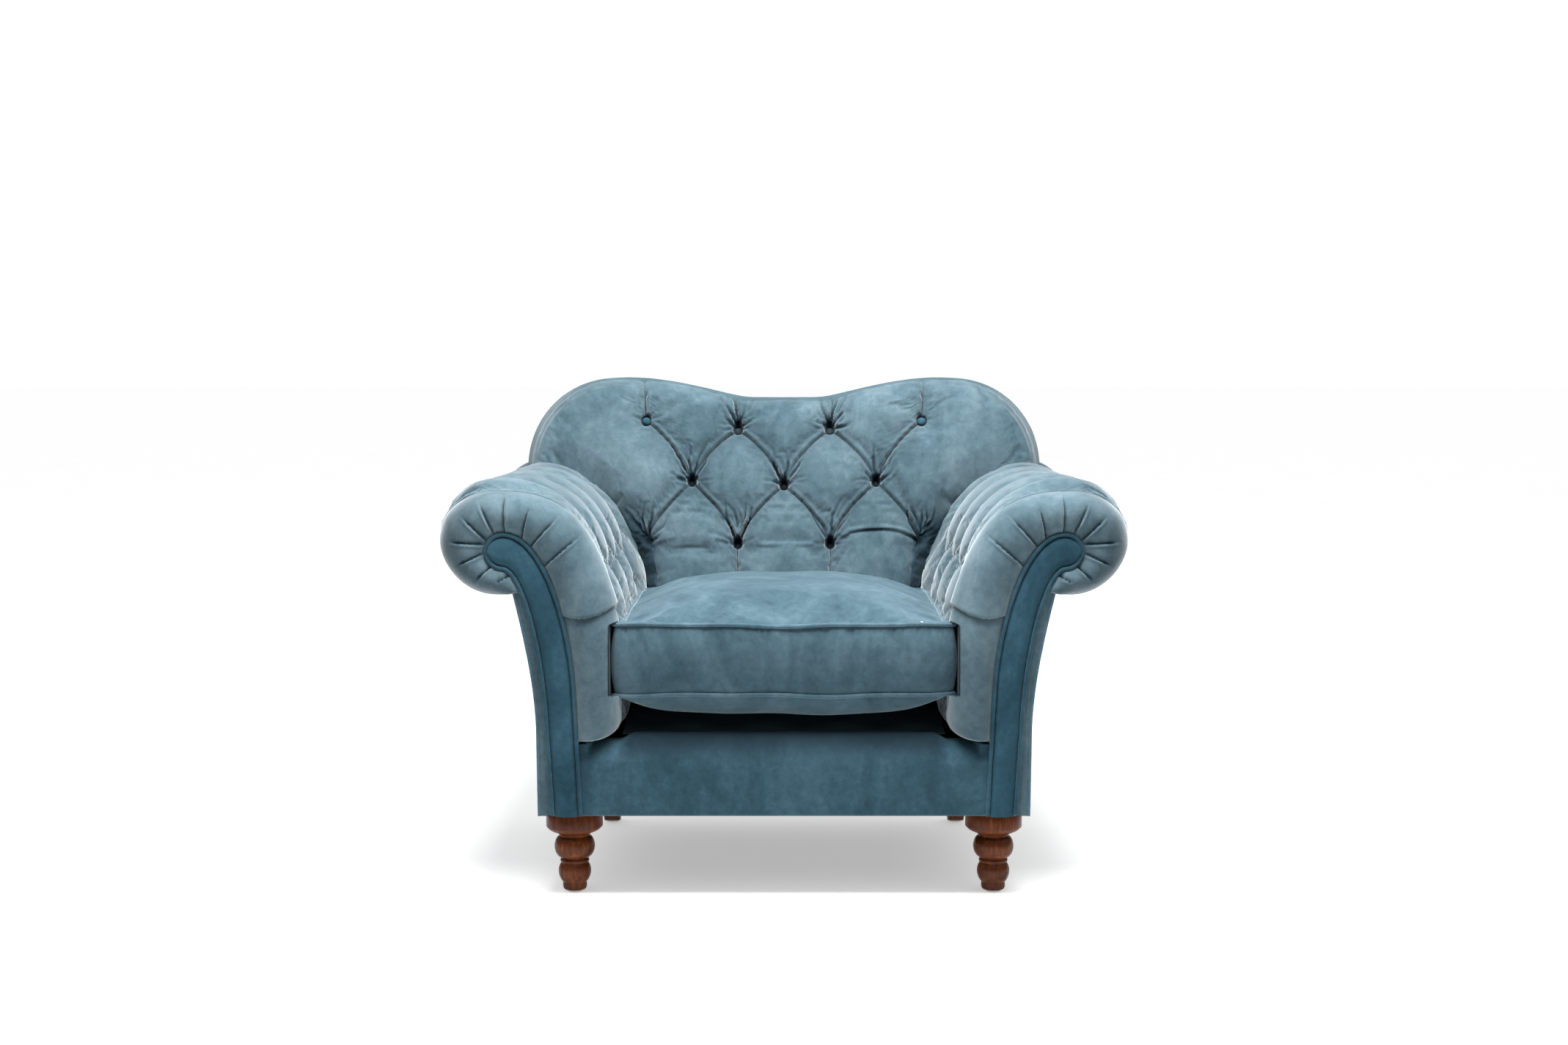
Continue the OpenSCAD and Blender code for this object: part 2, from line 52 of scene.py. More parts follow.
SIDES = {"right": 1, "left": -1}
RAKE = math.radians(13)                    # the lean of the CAD back
LAYER = 1 / math.cos(RAKE)                 # depth along Y of one unit through the leaning back
STUFFED = 0.150                            # inside back's face to the outside back, through the lean
COVER = 0.013                              # thickness of the outside panels
PIPING_R = 0.0035
arm_low, arm_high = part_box("inside_arm_right")
back_low, back_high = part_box("inside_back")
cushion_low, cushion_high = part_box("cushion_cover")
facing_low, facing_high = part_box("arm_facing_right")
border_low, border_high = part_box("front_border")
deck_low, deck_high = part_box("seat_deck")
cap_low, cap_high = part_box("scroll_cap_right")
FRONT = facing_low.y                       # plane of the arm fronts
BASE = facing_low.z                        # underside of the seat frame
ARM_X = arm_low.x                          # inside arm face
ROLL_R = (cap_high.x - cap_low.x) / 2
ROLL = np.array([(cap_high.x + cap_low.x) / 2, arm_high.z - ROLL_R])
SCROLL_R = 0.033                           # round end of the facing board
SCROLL = np.array([ARM_X + 0.198, facing_high.z + 0.008 - SCROLL_R])
CREST = back_high.z                        # top of the crest's humps
HALF_W = back_high.x
SHOULDER = 0.176                           # radius of the crest's shoulders
BOARD_FACE = 0.0125                        # how far the arms' scroll boards stand behind the front
GLIDE_TOP = 0.0036                         # where the wood of the legs begins, over the glides


def back_y(z, layer=0.0):
    """Y of the inside back's face at a height, or of a plane some way behind it."""
    return back_low.y + (z - back_low.z) * math.tan(RAKE) + layer * LAYER


# ---------- curves and polylines ----------


def bezier(points, count=24):
    """Points along a cubic curve."""
    t = np.linspace(0, 1, count)[:, None]
    a, b, c, d = np.array(points, float)
    return (1 - t) ** 3 * a + 3 * (1 - t) ** 2 * t * b + 3 * (1 - t) * t ** 2 * c + t ** 3 * d


def arc(centre, radius, start, end, count=32):
    """Points round a circle, from one angle to another in degrees."""
    a = np.radians(np.linspace(start, end, count))
    return np.array(centre) + radius * np.stack([np.cos(a), np.sin(a)], 1)


def chain(*parts):
    """Joins polylines, leaving out points that repeat."""
    points = np.concatenate([np.array(part, float) for part in parts])
    keep = np.concatenate([[True], np.linalg.norm(np.diff(points, axis=0), axis=1) > 1e-6])
    return points[keep]


def lengths(points):
    return np.concatenate([[0], np.cumsum(np.linalg.norm(np.diff(points, axis=0), axis=1))])


def at_length(points, s):
    """Points that lie the given lengths along a polyline."""
    run = lengths(points)
    return np.stack([np.interp(s, run, points[:, k]) for k in range(points.shape[1])], -1)


def resample(points, count):
    return at_length(points, np.linspace(0, lengths(points)[-1], count))


def left_of(points):
    """Unit normals to the left of a plane polyline's direction."""
    d = np.gradient(points, axis=0)
    d /= np.linalg.norm(d, axis=1)[:, None]
    return np.stack([-d[:, 1], d[:, 0]], 1)


def to_polyline(p, line):
    """Distance from each point to a polyline, the side it is on, and how far along it is, from 0 to 1."""
    best = np.full(len(p), 1e9)
    side, along = np.zeros(len(p)), np.zeros(len(p))
    run = lengths(line)
    for k in range(len(line) - 1):
        a, d = line[k], line[k + 1] - line[k]
        size = np.linalg.norm(d)
        t = np.clip(((p - a) @ d) / size ** 2, 0, 1)
        away = p - a - t[:, None] * d
        dist = np.linalg.norm(away, axis=1)
        near = dist < best
        best[near] = dist[near]
        side[near] = np.sign(d[0] * away[:, 1] - d[1] * away[:, 0])[near]
        along[near] = ((run[k] + t * size) / run[-1])[near]
    return best, side, along


def smooth_step(x):
    x = np.clip(x, 0, 1)
    return x * x * (3 - 2 * x)


# ---------- meshes ----------


def grid_faces(rows, cols, close_rows=False, close_cols=False):
    """Quads over a grid of points stored row by row."""
    i = np.arange(rows if close_rows else rows - 1)[:, None]
    j = np.arange(cols if close_cols else cols - 1)[None, :]
    here, above, right = i * cols, ((i + 1) % rows) * cols, (j + 1) % cols
    return np.stack([here + j, here + right, above + right, above + j], 2).reshape(-1, 4)


def linked(name, data):
    """A new object in the scene, made of a mesh, a lamp or a camera."""
    thing = bpy.data.objects.new(name, data)
    bpy.context.scene.collection.objects.link(thing)
    return thing


FOLD_SHADE_FROM = 0.40              # how deep in a fold the velvet turns to its painted-shade copy, from 0 to 1


def mesh_piece(name, points, faces, material, folds=None):
    """A smooth-shaded object made of quads. Folds says how deep in a fold each point is, which the velvet
    paints as shade, and the deepest faces of plain velvet take a darker copy with almost no sheen, as
    painted shade."""
    points = np.asarray(points, np.float32).reshape(-1, 3)
    faces = np.asarray(faces, np.int32)
    mesh = bpy.data.meshes.new(name)
    mesh.vertices.add(len(points))
    mesh.vertices.foreach_set("co", points.ravel())
    mesh.loops.add(faces.size)
    mesh.loops.foreach_set("vertex_index", faces.ravel())
    mesh.polygons.add(len(faces))
    mesh.polygons.foreach_set("loop_start", np.arange(0, faces.size, 4, dtype=np.int32))
    mesh.update(calc_edges=True)
    mesh.shade_smooth()
    mesh.materials.append(material)
    if folds is not None:
        layer = mesh.attributes.new("fold", "FLOAT", "POINT")
        folds = np.asarray(folds, np.float32).ravel()
        layer.data.foreach_set("value", folds)
        if material is VELVET:
            mesh.materials.append(FOLD_SHADE_VELVET)
            in_fold_shade = folds[faces].mean(1) > FOLD_SHADE_FROM
            mesh.polygons.foreach_set("material_index", in_fold_shade.astype(np.int32))
    return linked(name, mesh)


def grid_piece(name, grid, material, folds=None, close_rows=False, close_cols=False):
    """A surface through a grid of points, open or closed each way."""
    rows, cols = grid.shape[:2]
    return mesh_piece(name, grid, grid_faces(rows, cols, close_rows, close_cols), material, folds)


def edit(piece, gap=1e-6):
    """Merges points that coincide and turns a closed mesh's faces outward."""
    bpy.ops.object.select_all(action="DESELECT")
    piece.select_set(True)
    bpy.context.view_layer.objects.active = piece
    bpy.ops.object.mode_set(mode="EDIT")
    bpy.ops.mesh.select_all(action="SELECT")
    bpy.ops.mesh.remove_doubles(threshold=gap)
    bpy.ops.mesh.normals_make_consistent(inside=False)
    bpy.ops.object.mode_set(mode="OBJECT")
    return piece


def face_toward(piece, x, y, z):
    """Flips an open sheet's faces if most of them look away from a direction."""
    toward = Vector((x, y, z))
    if sum(f.normal.dot(toward) * f.area for f in piece.data.polygons) < 0:
        piece.data.flip_normals()
    return piece


def sheet(name, grid, material, toward, folds=None, close_cols=False):
    """An open sheet of cloth that looks toward a direction."""
    return face_toward(grid_piece(name, grid, material, folds, close_cols=close_cols), *toward)


def join(name, pieces):
    bpy.ops.object.select_all(action="DESELECT")
    for piece in pieces:
        piece.select_set(True)
    bpy.context.view_layer.objects.active = pieces[0]
    bpy.ops.object.join()
    pieces[0].name = name
    return pieces[0]


def finished(piece, body, replaces=()):
    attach(piece, body)
    if replaces:
        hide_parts(*replaces)
    return piece


def grid_normals(points):
    """Unit normals of a grid's surface, at its points."""
    n = np.cross(np.gradient(points, axis=1), np.gradient(points, axis=0))
    return n / np.maximum(np.linalg.norm(n, axis=2), 1e-9)[:, :, None]


def tube(name, path, radius, material, closed=False, sides=10, waver=0.03, seed=0):
    """A piping cord along a path of 3-D points, with a slight waver in its thickness."""
    path = np.array(path, float)
    d = np.roll(path, -1, 0) - np.roll(path, 1, 0) if closed else np.gradient(path, axis=0)
    d /= np.linalg.norm(d, axis=1)[:, None]
    u = np.zeros_like(d)
    u[0] = np.cross(d[0], [0.3, 0.5, 0.8])
    for k in range(len(u)):
        u[k] = u[max(k - 1, 0)] - d[k] * (u[max(k - 1, 0)] @ d[k])
        u[k] /= np.linalg.norm(u[k])
    v = np.cross(d, u)
    rng = np.random.default_rng(seed)
    r = radius * (1 + waver * np.interp(np.linspace(0, 79, len(path)), range(80), rng.normal(0, 1, 80)))
    a = np.linspace(0, 2 * math.pi, sides, endpoint=False)[None, :, None]
    rings = path[:, None] + (np.cos(a) * u[:, None] + np.sin(a) * v[:, None]) * r[:, None, None]
    if not closed:
        rings = np.concatenate([np.broadcast_to(path[0], (1, sides, 3)), rings,
                                np.broadcast_to(path[-1], (1, sides, 3))])
    return edit(grid_piece(name, rings, material, close_rows=closed, close_cols=True))


def turned_body(name, profile, centre, material, sides=72):
    """A body turned about a vertical axis, from (radius, height) points."""
    a = np.linspace(0, 2 * math.pi, sides, endpoint=False)
    r, z = profile[:, 0][:, None], profile[:, 1][:, None]
    rings = np.stack([centre[0] + r * np.cos(a), centre[1] + r * np.sin(a), z + 0 * a], 2)
    return edit(grid_piece(name, rings, material, close_cols=True))


# ---------- materials ----------


def new_material(name):
    material = bpy.data.materials.new(name)
    material.use_nodes = True
    tree = material.node_tree
    return material, tree, tree.nodes["Principled BSDF"]


def add(tree, kind, **settings):
    """A node with its sockets and properties set by name."""
    node = tree.nodes.new(kind)
    for key, value in settings.items():
        if key in node.inputs:
            node.inputs[key].default_value = value
        else:
            setattr(node, key, value)
    return node


def object_place(tree, scale=(1, 1, 1)):
    """The object's own coordinates, stretched along its axes."""
    place = add(tree, "ShaderNodeTexCoord").outputs["Object"]
    mapping = add(tree, "ShaderNodeMapping", Scale=scale)
    tree.links.new(place, mapping.inputs["Vector"])
    return mapping.outputs["Vector"]


def noise(tree, place, scale, detail=4.0, roughness=0.55, distortion=0.0):
    node = add(tree, "ShaderNodeTexNoise", Scale=scale, Detail=detail, Roughness=roughness,
               Distortion=distortion)
    tree.links.new(place, node.inputs["Vector"])
    return node.outputs["Fac"]


def blended(tree, a, b, share):
    node = add(tree, "ShaderNodeMix", data_type="FLOAT")
    node.inputs["Factor"].default_value = share
    tree.links.new(a, node.inputs["A"])
    tree.links.new(b, node.inputs["B"])
    return node.outputs["Result"]


def ramp(tree, factor, *stops):
    """A colour ramp from (position, grey or colour) stops."""
    node = add(tree, "ShaderNodeValToRGB")
    elements = node.color_ramp.elements
    while len(elements) < len(stops):
        elements.new(0.5)
    for element, (position, colour) in zip(elements, stops):
        element.position = position
        element.color = (*colour, 1) if isinstance(colour, tuple) else (colour, colour, colour, 1)
    tree.links.new(factor, node.inputs["Fac"])
    return node.outputs["Color"]


def bump(tree, shader, height, strength, distance):
    """Adds a bump to a shader, on top of any it already has."""
    node = add(tree, "ShaderNodeBump", Strength=strength, Distance=distance)
    tree.links.new(height, node.inputs["Height"])
    for link in list(shader.inputs["Normal"].links):
        tree.links.new(link.from_socket, node.inputs["Normal"])
    tree.links.new(node.outputs["Normal"], shader.inputs["Normal"])


# velvet's colours, from where the pile lies away from the eye to where it faces it, and the painted shade
# deep in a fold
PILE = ((0.34, (0.017, 0.036, 0.047)), (0.50, (0.041, 0.070, 0.086)), (0.68, (0.082, 0.121, 0.141)))
FOLD_SHADE_COLOUR = (0.0015, 0.004, 0.007, 1)


def velvet(name, shade=(1, 1, 1), pile=1.0, sheen=0.62, tint=(0.84, 0.91, 0.94)):
    """Cut velvet: a dark ground, brushed patches where the pile lies differently, and a soft sheen.

    Shade scales the ground's red, green and blue, and pile scales the relief of the fibres."""
    material, tree, shader = new_material(name)
    place = object_place(tree)
    brushed = noise(tree, object_place(tree, (1, 1, 0.5)), 9.0, 6.0, 0.62, 0.8)
    marks = noise(tree, place, 62.0, 7.0, 0.72, 0.3)
    fibre = noise(tree, place, 1100.0, 2.0, 0.6)
    cloudy = blended(tree, blended(tree, brushed, marks, 0.38), fibre, 0.14)
    ground = ramp(tree, cloudy, *((at, tuple(c * s for c, s in zip(colour, shade))) for at, colour in PILE))
    # painted shade: the fold attribute darkens the ground toward a near-black colour in folds, pits and
    # joins
    fold = add(tree, "ShaderNodeAttribute", attribute_name="fold")
    deep = add(tree, "ShaderNodeMix", data_type="RGBA")
    tree.links.new(fold.outputs["Fac"], deep.inputs["Factor"])
    tree.links.new(ground, deep.inputs["A"])
    deep.inputs["B"].default_value = FOLD_SHADE_COLOUR
    tree.links.new(deep.outputs["Result"], shader.inputs["Base Color"])
    tree.links.new(ramp(tree, marks, (0.2, 0.70), (0.8, 0.92)), shader.inputs["Roughness"])
    shader.inputs["Specular IOR Level"].default_value = 0.06
    shader.inputs["Sheen Weight"].default_value = sheen
    shader.inputs["Sheen Roughness"].default_value = 0.40
    shader.inputs["Sheen Tint"].default_value = (*tint, 1)
    bump(tree, shader, fibre, 0.30 * pile, 0.0006)
    bump(tree, shader, marks, 0.16 * pile, 0.003)
    return material


def stained_wood(name):
    """Dark stained hardwood, its grain running up the leg under a satin lacquer."""
    material, tree, shader = new_material(name)
    streaks = noise(tree, object_place(tree, (1, 1, 0.09)), 240.0, 5.0, 0.6, 0.8)
    cloud = noise(tree, object_place(tree), 28.0, 3.0, 0.5, 0.4)
    both = blended(tree, streaks, cloud, 0.45)
    stain = ramp(tree, both, (0.30, (0.012, 0.0027, 0.0006)), (0.52, (0.056, 0.0135, 0.0028)),
                 (0.75, (0.155, 0.044, 0.0088)))
    tree.links.new(stain, shader.inputs["Base Color"])
    tree.links.new(ramp(tree, cloud, (0.3, 0.24), (0.7, 0.42)), shader.inputs["Roughness"])
    shader.inputs["Specular IOR Level"].default_value = 0.10
    shader.inputs["Coat Weight"].default_value = 0.04
    shader.inputs["Coat Roughness"].default_value = 0.16
    bump(tree, shader, streaks, 0.12, 0.001)
    return material


def woven(name, dark, light, pitch):
    """Plain woven cloth with threads this far apart."""
    material, tree, shader = new_material(name)
    place = object_place(tree)
    crossing = add(tree, "ShaderNodeMath", operation="MULTIPLY")
    for k, direction in enumerate("XY"):
        wave = add(tree, "ShaderNodeTexWave", Scale=0.314 / pitch, Distortion=1.2, bands_direction=direction)
        tree.links.new(place, wave.inputs["Vector"])
        tree.links.new(wave.outputs["Fac"], crossing.inputs[k])
    cloudy = blended(tree, crossing.outputs["Value"], noise(tree, place, 30.0), 0.3)
    tree.links.new(ramp(tree, cloudy, (0.1, dark), (0.8, light)), shader.inputs["Base Color"])
    shader.inputs["Roughness"].default_value = 0.9
    bump(tree, shader, crossing.outputs["Value"], 0.4, 0.0006)
    return material


def mottled(name, colour, roughness, metallic=0.0, contrast=0.12, scale=60.0, stretch=(1, 1, 1)):
    """Metal, plastic, foam or bare timber, with cloudy colour and uneven gloss."""
    material, tree, shader = new_material(name)
    cloud = noise(tree, object_place(tree, stretch), scale, 5.0, 0.6, 0.5)
    low, high = (tuple(c * (1 + k * contrast) for c in colour) for k in (-1, 1))
    tree.links.new(ramp(tree, cloud, (0.3, low), (0.7, high)), shader.inputs["Base Color"])
    gloss = ramp(tree, cloud, (0.3, roughness * 0.8), (0.7, min(1, roughness * 1.15)))
    tree.links.new(gloss, shader.inputs["Roughness"])
    shader.inputs["Metallic"].default_value = metallic
    bump(tree, shader, cloud, 0.15, 0.001)
    return material


VELVET = velvet("velvet")
# painted shade: a copy of the velvet with almost no sheen, for the deepest faces of folds, pits and joins
FOLD_SHADE_VELVET = velvet("fold_shade_velvet", shade=(0.8, 0.9, 0.95), sheen=0.05)
# darker and lighter copies of the velvet, with less or more sheen, paint how much light each part gets:
# painted shade on the arm facings and their piping, the cushion, the crest's sides, the front border and
# deck, and the buttons down in their pits; a painted highlight on the piping cords
TEAL = (0.50, 0.82, 0.96)
FACING = velvet("facing_velvet", shade=(0.32, 0.56, 0.66), sheen=0.16, tint=TEAL)
CUSHION = velvet("cushion_velvet", shade=(0.80, 0.88, 0.92), sheen=0.40, tint=(0.66, 0.86, 0.94))
SIDE = velvet("crest_side_velvet", shade=(0.9, 1, 1), sheen=0.12)
BORDER = velvet("border_velvet", shade=(0.42, 0.60, 0.68), sheen=0.14, tint=TEAL)
PIPING = velvet("piping_velvet", shade=(1.0, 1.1, 1.15), pile=0.6, sheen=0.5)
FACING_PIPING = velvet("facing_piping_velvet", shade=(0.36, 0.58, 0.68), pile=0.6, sheen=0.24, tint=TEAL)
BUTTON = velvet("button_velvet", shade=(0.3, 0.3, 0.3), pile=0.6, sheen=0.15)
LEG_WOOD = stained_wood("leg_wood")
BY_SLOT = {
    "hardwood": mottled("bare_hardwood", (0.46, 0.29, 0.15), 0.65, 0, 0.25, 90.0, (0.12, 1, 1)),
    "plywood": mottled("birch_plywood", (0.55, 0.40, 0.24), 0.7, 0, 0.2, 120.0, (1, 0.1, 1)),
    "spring_steel": mottled("spring_steel", (0.42, 0.41, 0.40), 0.38, 1.0),
    "fixing_steel": mottled("zinc_steel", (0.62, 0.62, 0.60), 0.30, 1.0),
    "insert_brass": mottled("brass", (0.72, 0.52, 0.22), 0.32, 1.0),
    "glide_plastic": mottled("nylon", (0.72, 0.70, 0.66), 0.5, 0, 0.04),
    "cushion_fibre": mottled("white_fibre", (0.80, 0.78, 0.74), 0.95, 0, 0.08, 200.0),
    "webbing": woven("jute_webbing", (0.16, 0.10, 0.05), (0.42, 0.30, 0.17), 0.0016),
    "dust_cloth": woven("dust_cloth", (0.006, 0.006, 0.007), (0.03, 0.03, 0.032), 0.0012),
    "zip": woven("zip_tape", (0.008, 0.018, 0.026), (0.04, 0.07, 0.09), 0.0010),
    "leg_wood": LEG_WOOD,
    "velvet": VELVET,
    "piping": PIPING,
}

# ---------- folds, pits and wrinkles in stuffed velvet ----------


def close_to(p, line, margin):
    """Which points lie in a line's box, widened by a margin."""
    return np.all((p > line.min(0) - margin) & (p < line.max(0) + margin), axis=1)


class Velvet:
    """The relief of buttoned velvet over a plane: sewn-in folds, pits and wrinkles."""

    def __init__(self, p, seed):
        self.p = p
        self.rng = np.random.default_rng(seed)
        self.valleys = np.zeros(len(p))
        self.creases = np.zeros(len(p))
        self.fine = np.zeros(len(p))
        self.lips = np.zeros(len(p))
        self.hole_shade = np.zeros(len(p))

    def fold(self, line, start, end, lap=1, crease=0.42, lip=0.0018, width=0.0032, belly=0.032):
        """A sewn-in fold: a sharp crease in a soft valley, with a lip on the side that laps over."""
        line = np.array(line, float)
        near = close_to(self.p, line, 0.13)
        dist, side, along = to_polyline(self.p[near], line)
        depth = start + (end - start) * along
        lapped = side * lap > 0
        w = np.where(lapped, width * 0.45, width * 1.5)
        self.valleys[near] += (depth * (1 - crease) * np.exp(-(dist / belly) ** 1.6)) ** 3
        sharp = depth * crease * np.exp(-dist / w)
        self.creases[near] = np.maximum(self.creases[near], sharp)
        ends = smooth_step(along / 0.1) * smooth_step((1 - along) / 0.1)
        self.lips[near] += lip * ends * lapped * np.exp(-((dist - 0.005) / 0.004) ** 2)

    def pit(self, centre, depth, radius=0.0135, wide=0.045, share=0.30, drop=1.25):
        """The pit that a button pulls: a hole with steep walls, taller than wide, in a soft hollow."""
        q = self.p - centre
        r = np.sqrt(q[:, 0] ** 2 + (q[:, 1] / np.where(q[:, 1] > 0, drop, 1.0)) ** 2)
        self.valleys += (depth * share * np.exp(-(r / wide) ** 1.5)) ** 3
        self.creases = np.maximum(self.creases, depth * (1 - share) * np.exp(-(r / radius) ** 3))
        # painted shade: the pit's hole is painted dark
        self.hole_shade = np.maximum(self.hole_shade, np.exp(-(r / (radius * 1.05)) ** 6))

    def wrinkle(self, start, end, depth, width=0.0028, bow=0.0):
        """A fine tension wrinkle, deepest near its start and fading out."""
        d = end - start
        middle = (start + end) / 2 + bow * np.array([-d[1], d[0]])
        line = np.array([start, middle, end])
        near = close_to(self.p, line, 0.016)
        if not near.any():
            return
        dist, _, along = to_polyline(self.p[near], line)
        fade = smooth_step(along / 0.15) * (1 - along) ** 0.8
        ridge = 0.55 * np.exp(-((dist - 2.1 * width) / width) ** 2)
        self.fine[near] += depth * fade * (np.exp(-(dist / width) ** 2) - ridge)

    def fan(self, centre, first, last, count, reach, depth=0.0042, inner=0.010):
        """Wrinkles that spread from a button between two angles, in degrees."""
        for angle in np.linspace(first, last, count):
            a = math.radians(angle + self.rng.uniform(-4, 4))
            size = reach * self.rng.uniform(0.6, 1.3)
            d = np.array([math.cos(a), math.sin(a)])
            self.wrinkle(centre + d * inner, centre + d * size, depth * self.rng.uniform(0.55, 1.25),
                         self.rng.uniform(0.0022, 0.0034), self.rng.uniform(-0.12, 0.12))

    def height(self):
        return self.lips - self.fine - self.valleys ** (1 / 3) - self.creases

    def shade(self):
        """Painted shade in folds, pits, wrinkles and soft valleys: how dark each point is painted, from 0 to
        1.
        """
        folds = np.clip((self.creases - 0.0065) / 0.010, 0, 1) * 0.95 + np.clip(self.fine / 0.005, 0, 0.5)
        folds += 0.30 * np.clip((self.valleys ** (1 / 3) - 0.003) / 0.015, 0, 1)
        return np.maximum(folds, np.minimum(self.hole_shade * 1.3, 1))


def settle(points, held, pressure, slack, every=3, frames=14, farthest=0.010):
    """How far cloth over stuffing moves as it settles between the points that hold it, by simulation.

    Only every so many points are simulated, and slack is how much longer the cloth is cut."""
    rows, cols = points.shape[:2]
    pick_rows = np.unique(np.append(np.arange(0, rows, every), rows - 1))
    pick_cols = np.unique(np.append(np.arange(0, cols, every), cols - 1))
    start = points[np.ix_(pick_rows, pick_cols)]
    fixed = held[np.ix_(pick_rows, pick_cols)].copy()
    fixed[[0, -1], :] = True
    fixed[:, [0, -1]] = True
    sample = grid_piece("settling", start, VELVET)
    group = sample.vertex_groups.new(name="held")
    group.add([int(k) for k in np.flatnonzero(fixed.ravel())], 1.0, "REPLACE")
    cloth = sample.modifiers.new("cloth", "CLOTH")
    cloth.settings.quality = 4
    cloth.settings.use_pressure = True
    cloth.settings.uniform_pressure_force = pressure
    cloth.settings.vertex_group_mass = "held"
    cloth.settings.shrink_min = -slack
    cloth.settings.bending_stiffness = 0.3
    cloth.settings.effector_weights.gravity = 0
    cloth.collision_settings.use_collision = False
    cloth.point_cache.frame_end = frames
    for k in range(1, frames + 1):
        bpy.context.scene.frame_set(k)
    settled = sample.evaluated_get(bpy.context.evaluated_depsgraph_get()).data
    moved = np.empty(start.size, np.float32)
    settled.vertices.foreach_get("co", moved)
    bpy.context.scene.frame_set(1)
    bpy.data.objects.remove(sample)
    delta = moved.reshape(start.shape) - start
    size = np.maximum(np.linalg.norm(delta, axis=2, keepdims=True), 1e-9)
    delta *= np.minimum(1, farthest / size)
    across = [[np.interp(range(cols), pick_cols, row) for row in delta[:, :, k]] for k in range(3)]
    down = [[np.interp(range(rows), pick_rows, column) for column in np.transpose(part)] for part in across]
    return np.array(down).transpose(2, 1, 0)


# ---------- sections and outlines ----------


def crest_curve():
    """The crest from the left shoulder over both humps to the right one, in X and Z."""
    x, z = HALF_W - SHOULDER, CREST
    right = chain([(0, z - 0.042)], bezier([(0.080, z - 0.042), (0.165, z - 0.023), (0.262, z + 0.006),
                                            (x, z - 0.002)], 50),
                  arc((x, z - 0.002 - SHOULDER), SHOULDER, 88, 0, 50))
    line = resample(chain(right[::-1] * [-1, 1], right), 600)
    for _ in range(60):
        line[1:-1] = (line[:-2] + line[2:]) / 2
    return line


def from_arm(*points):
    """Points given from the foot of the arm's inside face, in X and Z."""
    return [(ARM_X + x, BASE + z) for x, z in points]


def arm_skin():
    """Outer outline of the stuffed arm: up the inside face, over the roll and under it."""
    corner = 0.036
    return chain(from_arm((0.062, 0.1325)), arc(*from_arm((corner, 0.168)), corner, 268, 180, 14),
                 bezier(from_arm((0, 0.168), (0, 0.210), (0, 0.260), (0, 0.295)), 8),
                 bezier([*from_arm((0, 0.295), (0, 0.415)), (ARM_X + 0.070, arm_high.z - 0.002),
                         (ROLL[0], arm_high.z)], 40),
                 arc(ROLL, ROLL_R, 86, -112, 70))


def board_inner():
    """Inner edge of the S-shaped arm front, from the bottom to the round end."""
    return chain(from_arm((0.065, 0)),
                 bezier(from_arm((0.076, 0.215), (0.081, 0.325), (0.125, 0.490), (0.198, 0.490)), 40),
                 arc(SCROLL, SCROLL_R, 84, 0, 16))


def board_outer():
    """Outer edge of the arm front, from the bottom to the round end."""
    return chain(from_arm((0.121, 0)),
                 bezier(from_arm((0.132, 0.185), (0.140, 0.295), (0.168, 0.415), (0.198, 0.424)), 40),
                 arc(SCROLL, SCROLL_R, -84, 0, 16))


def board_outline():
    """Once round the arm front, from foot to foot."""
    return chain(board_inner(), board_outer()[::-1])


def outside_skin():
    """Outside face of the arm, from the bottom up to the underside of the roll."""
    return chain(from_arm((0.144, 0)),
                 bezier(from_arm((0.146, 0.155), (0.149, 0.235), (0.167, 0.315), (0.186, 0.392)), 30))


SKIN = arm_skin()
SKIN_RUN = lengths(SKIN)
SKIN_LENGTH = SKIN_RUN[-1]
SKIN_TOP = int(np.argmax(SKIN[:, 1]))


def skin_at(z):
    """How far along the arm's skin its inside face reaches a height."""
    return float(np.interp(z, SKIN[:SKIN_TOP, 1], SKIN_RUN[:SKIN_TOP]))


# ---------- inside back ----------

BUTTON_STEP = 0.184
BACK_ROWS = {"top": (BASE + 0.646, (-1.5, -0.5, 0.5, 1.5)), "mid": (BASE + 0.537, (-1, 0, 1)),
             "low": (BASE + 0.420, (-1.5, -0.5, 0.5, 1.5))}
OUTER_RISE = {"top": 0.017, "mid": 0.006, "low": 0.0}    # how much higher a row's outer buttons sit
DRAWN_IN = 0.036                 # share of its width that the stuffed edge loses at the front
EDGE_R = 0.034                   # rounding of the stuffed edge over the crest


def back_button_places():
    """Where each button of the back is, in X and Z, by row and number."""
    places = {}
    for row, (z, steps) in BACK_ROWS.items():
        for k, step in enumerate(steps):
            rise = OUTER_RISE[row] if abs(step) >= 1 else 0
            places[row, k] = np.array([step * BUTTON_STEP, z + rise])
    return places


back_buttons = back_button_places()


def swag(upper, lower, sag):
    """A fold between two buttons, which leaves the upper one aslant and reaches the lower one steeply."""
    d = lower - upper
    return bezier([upper, upper + d * [0.40, 0.26 - sag], upper + d * [0.88, 0.62], lower], 12)


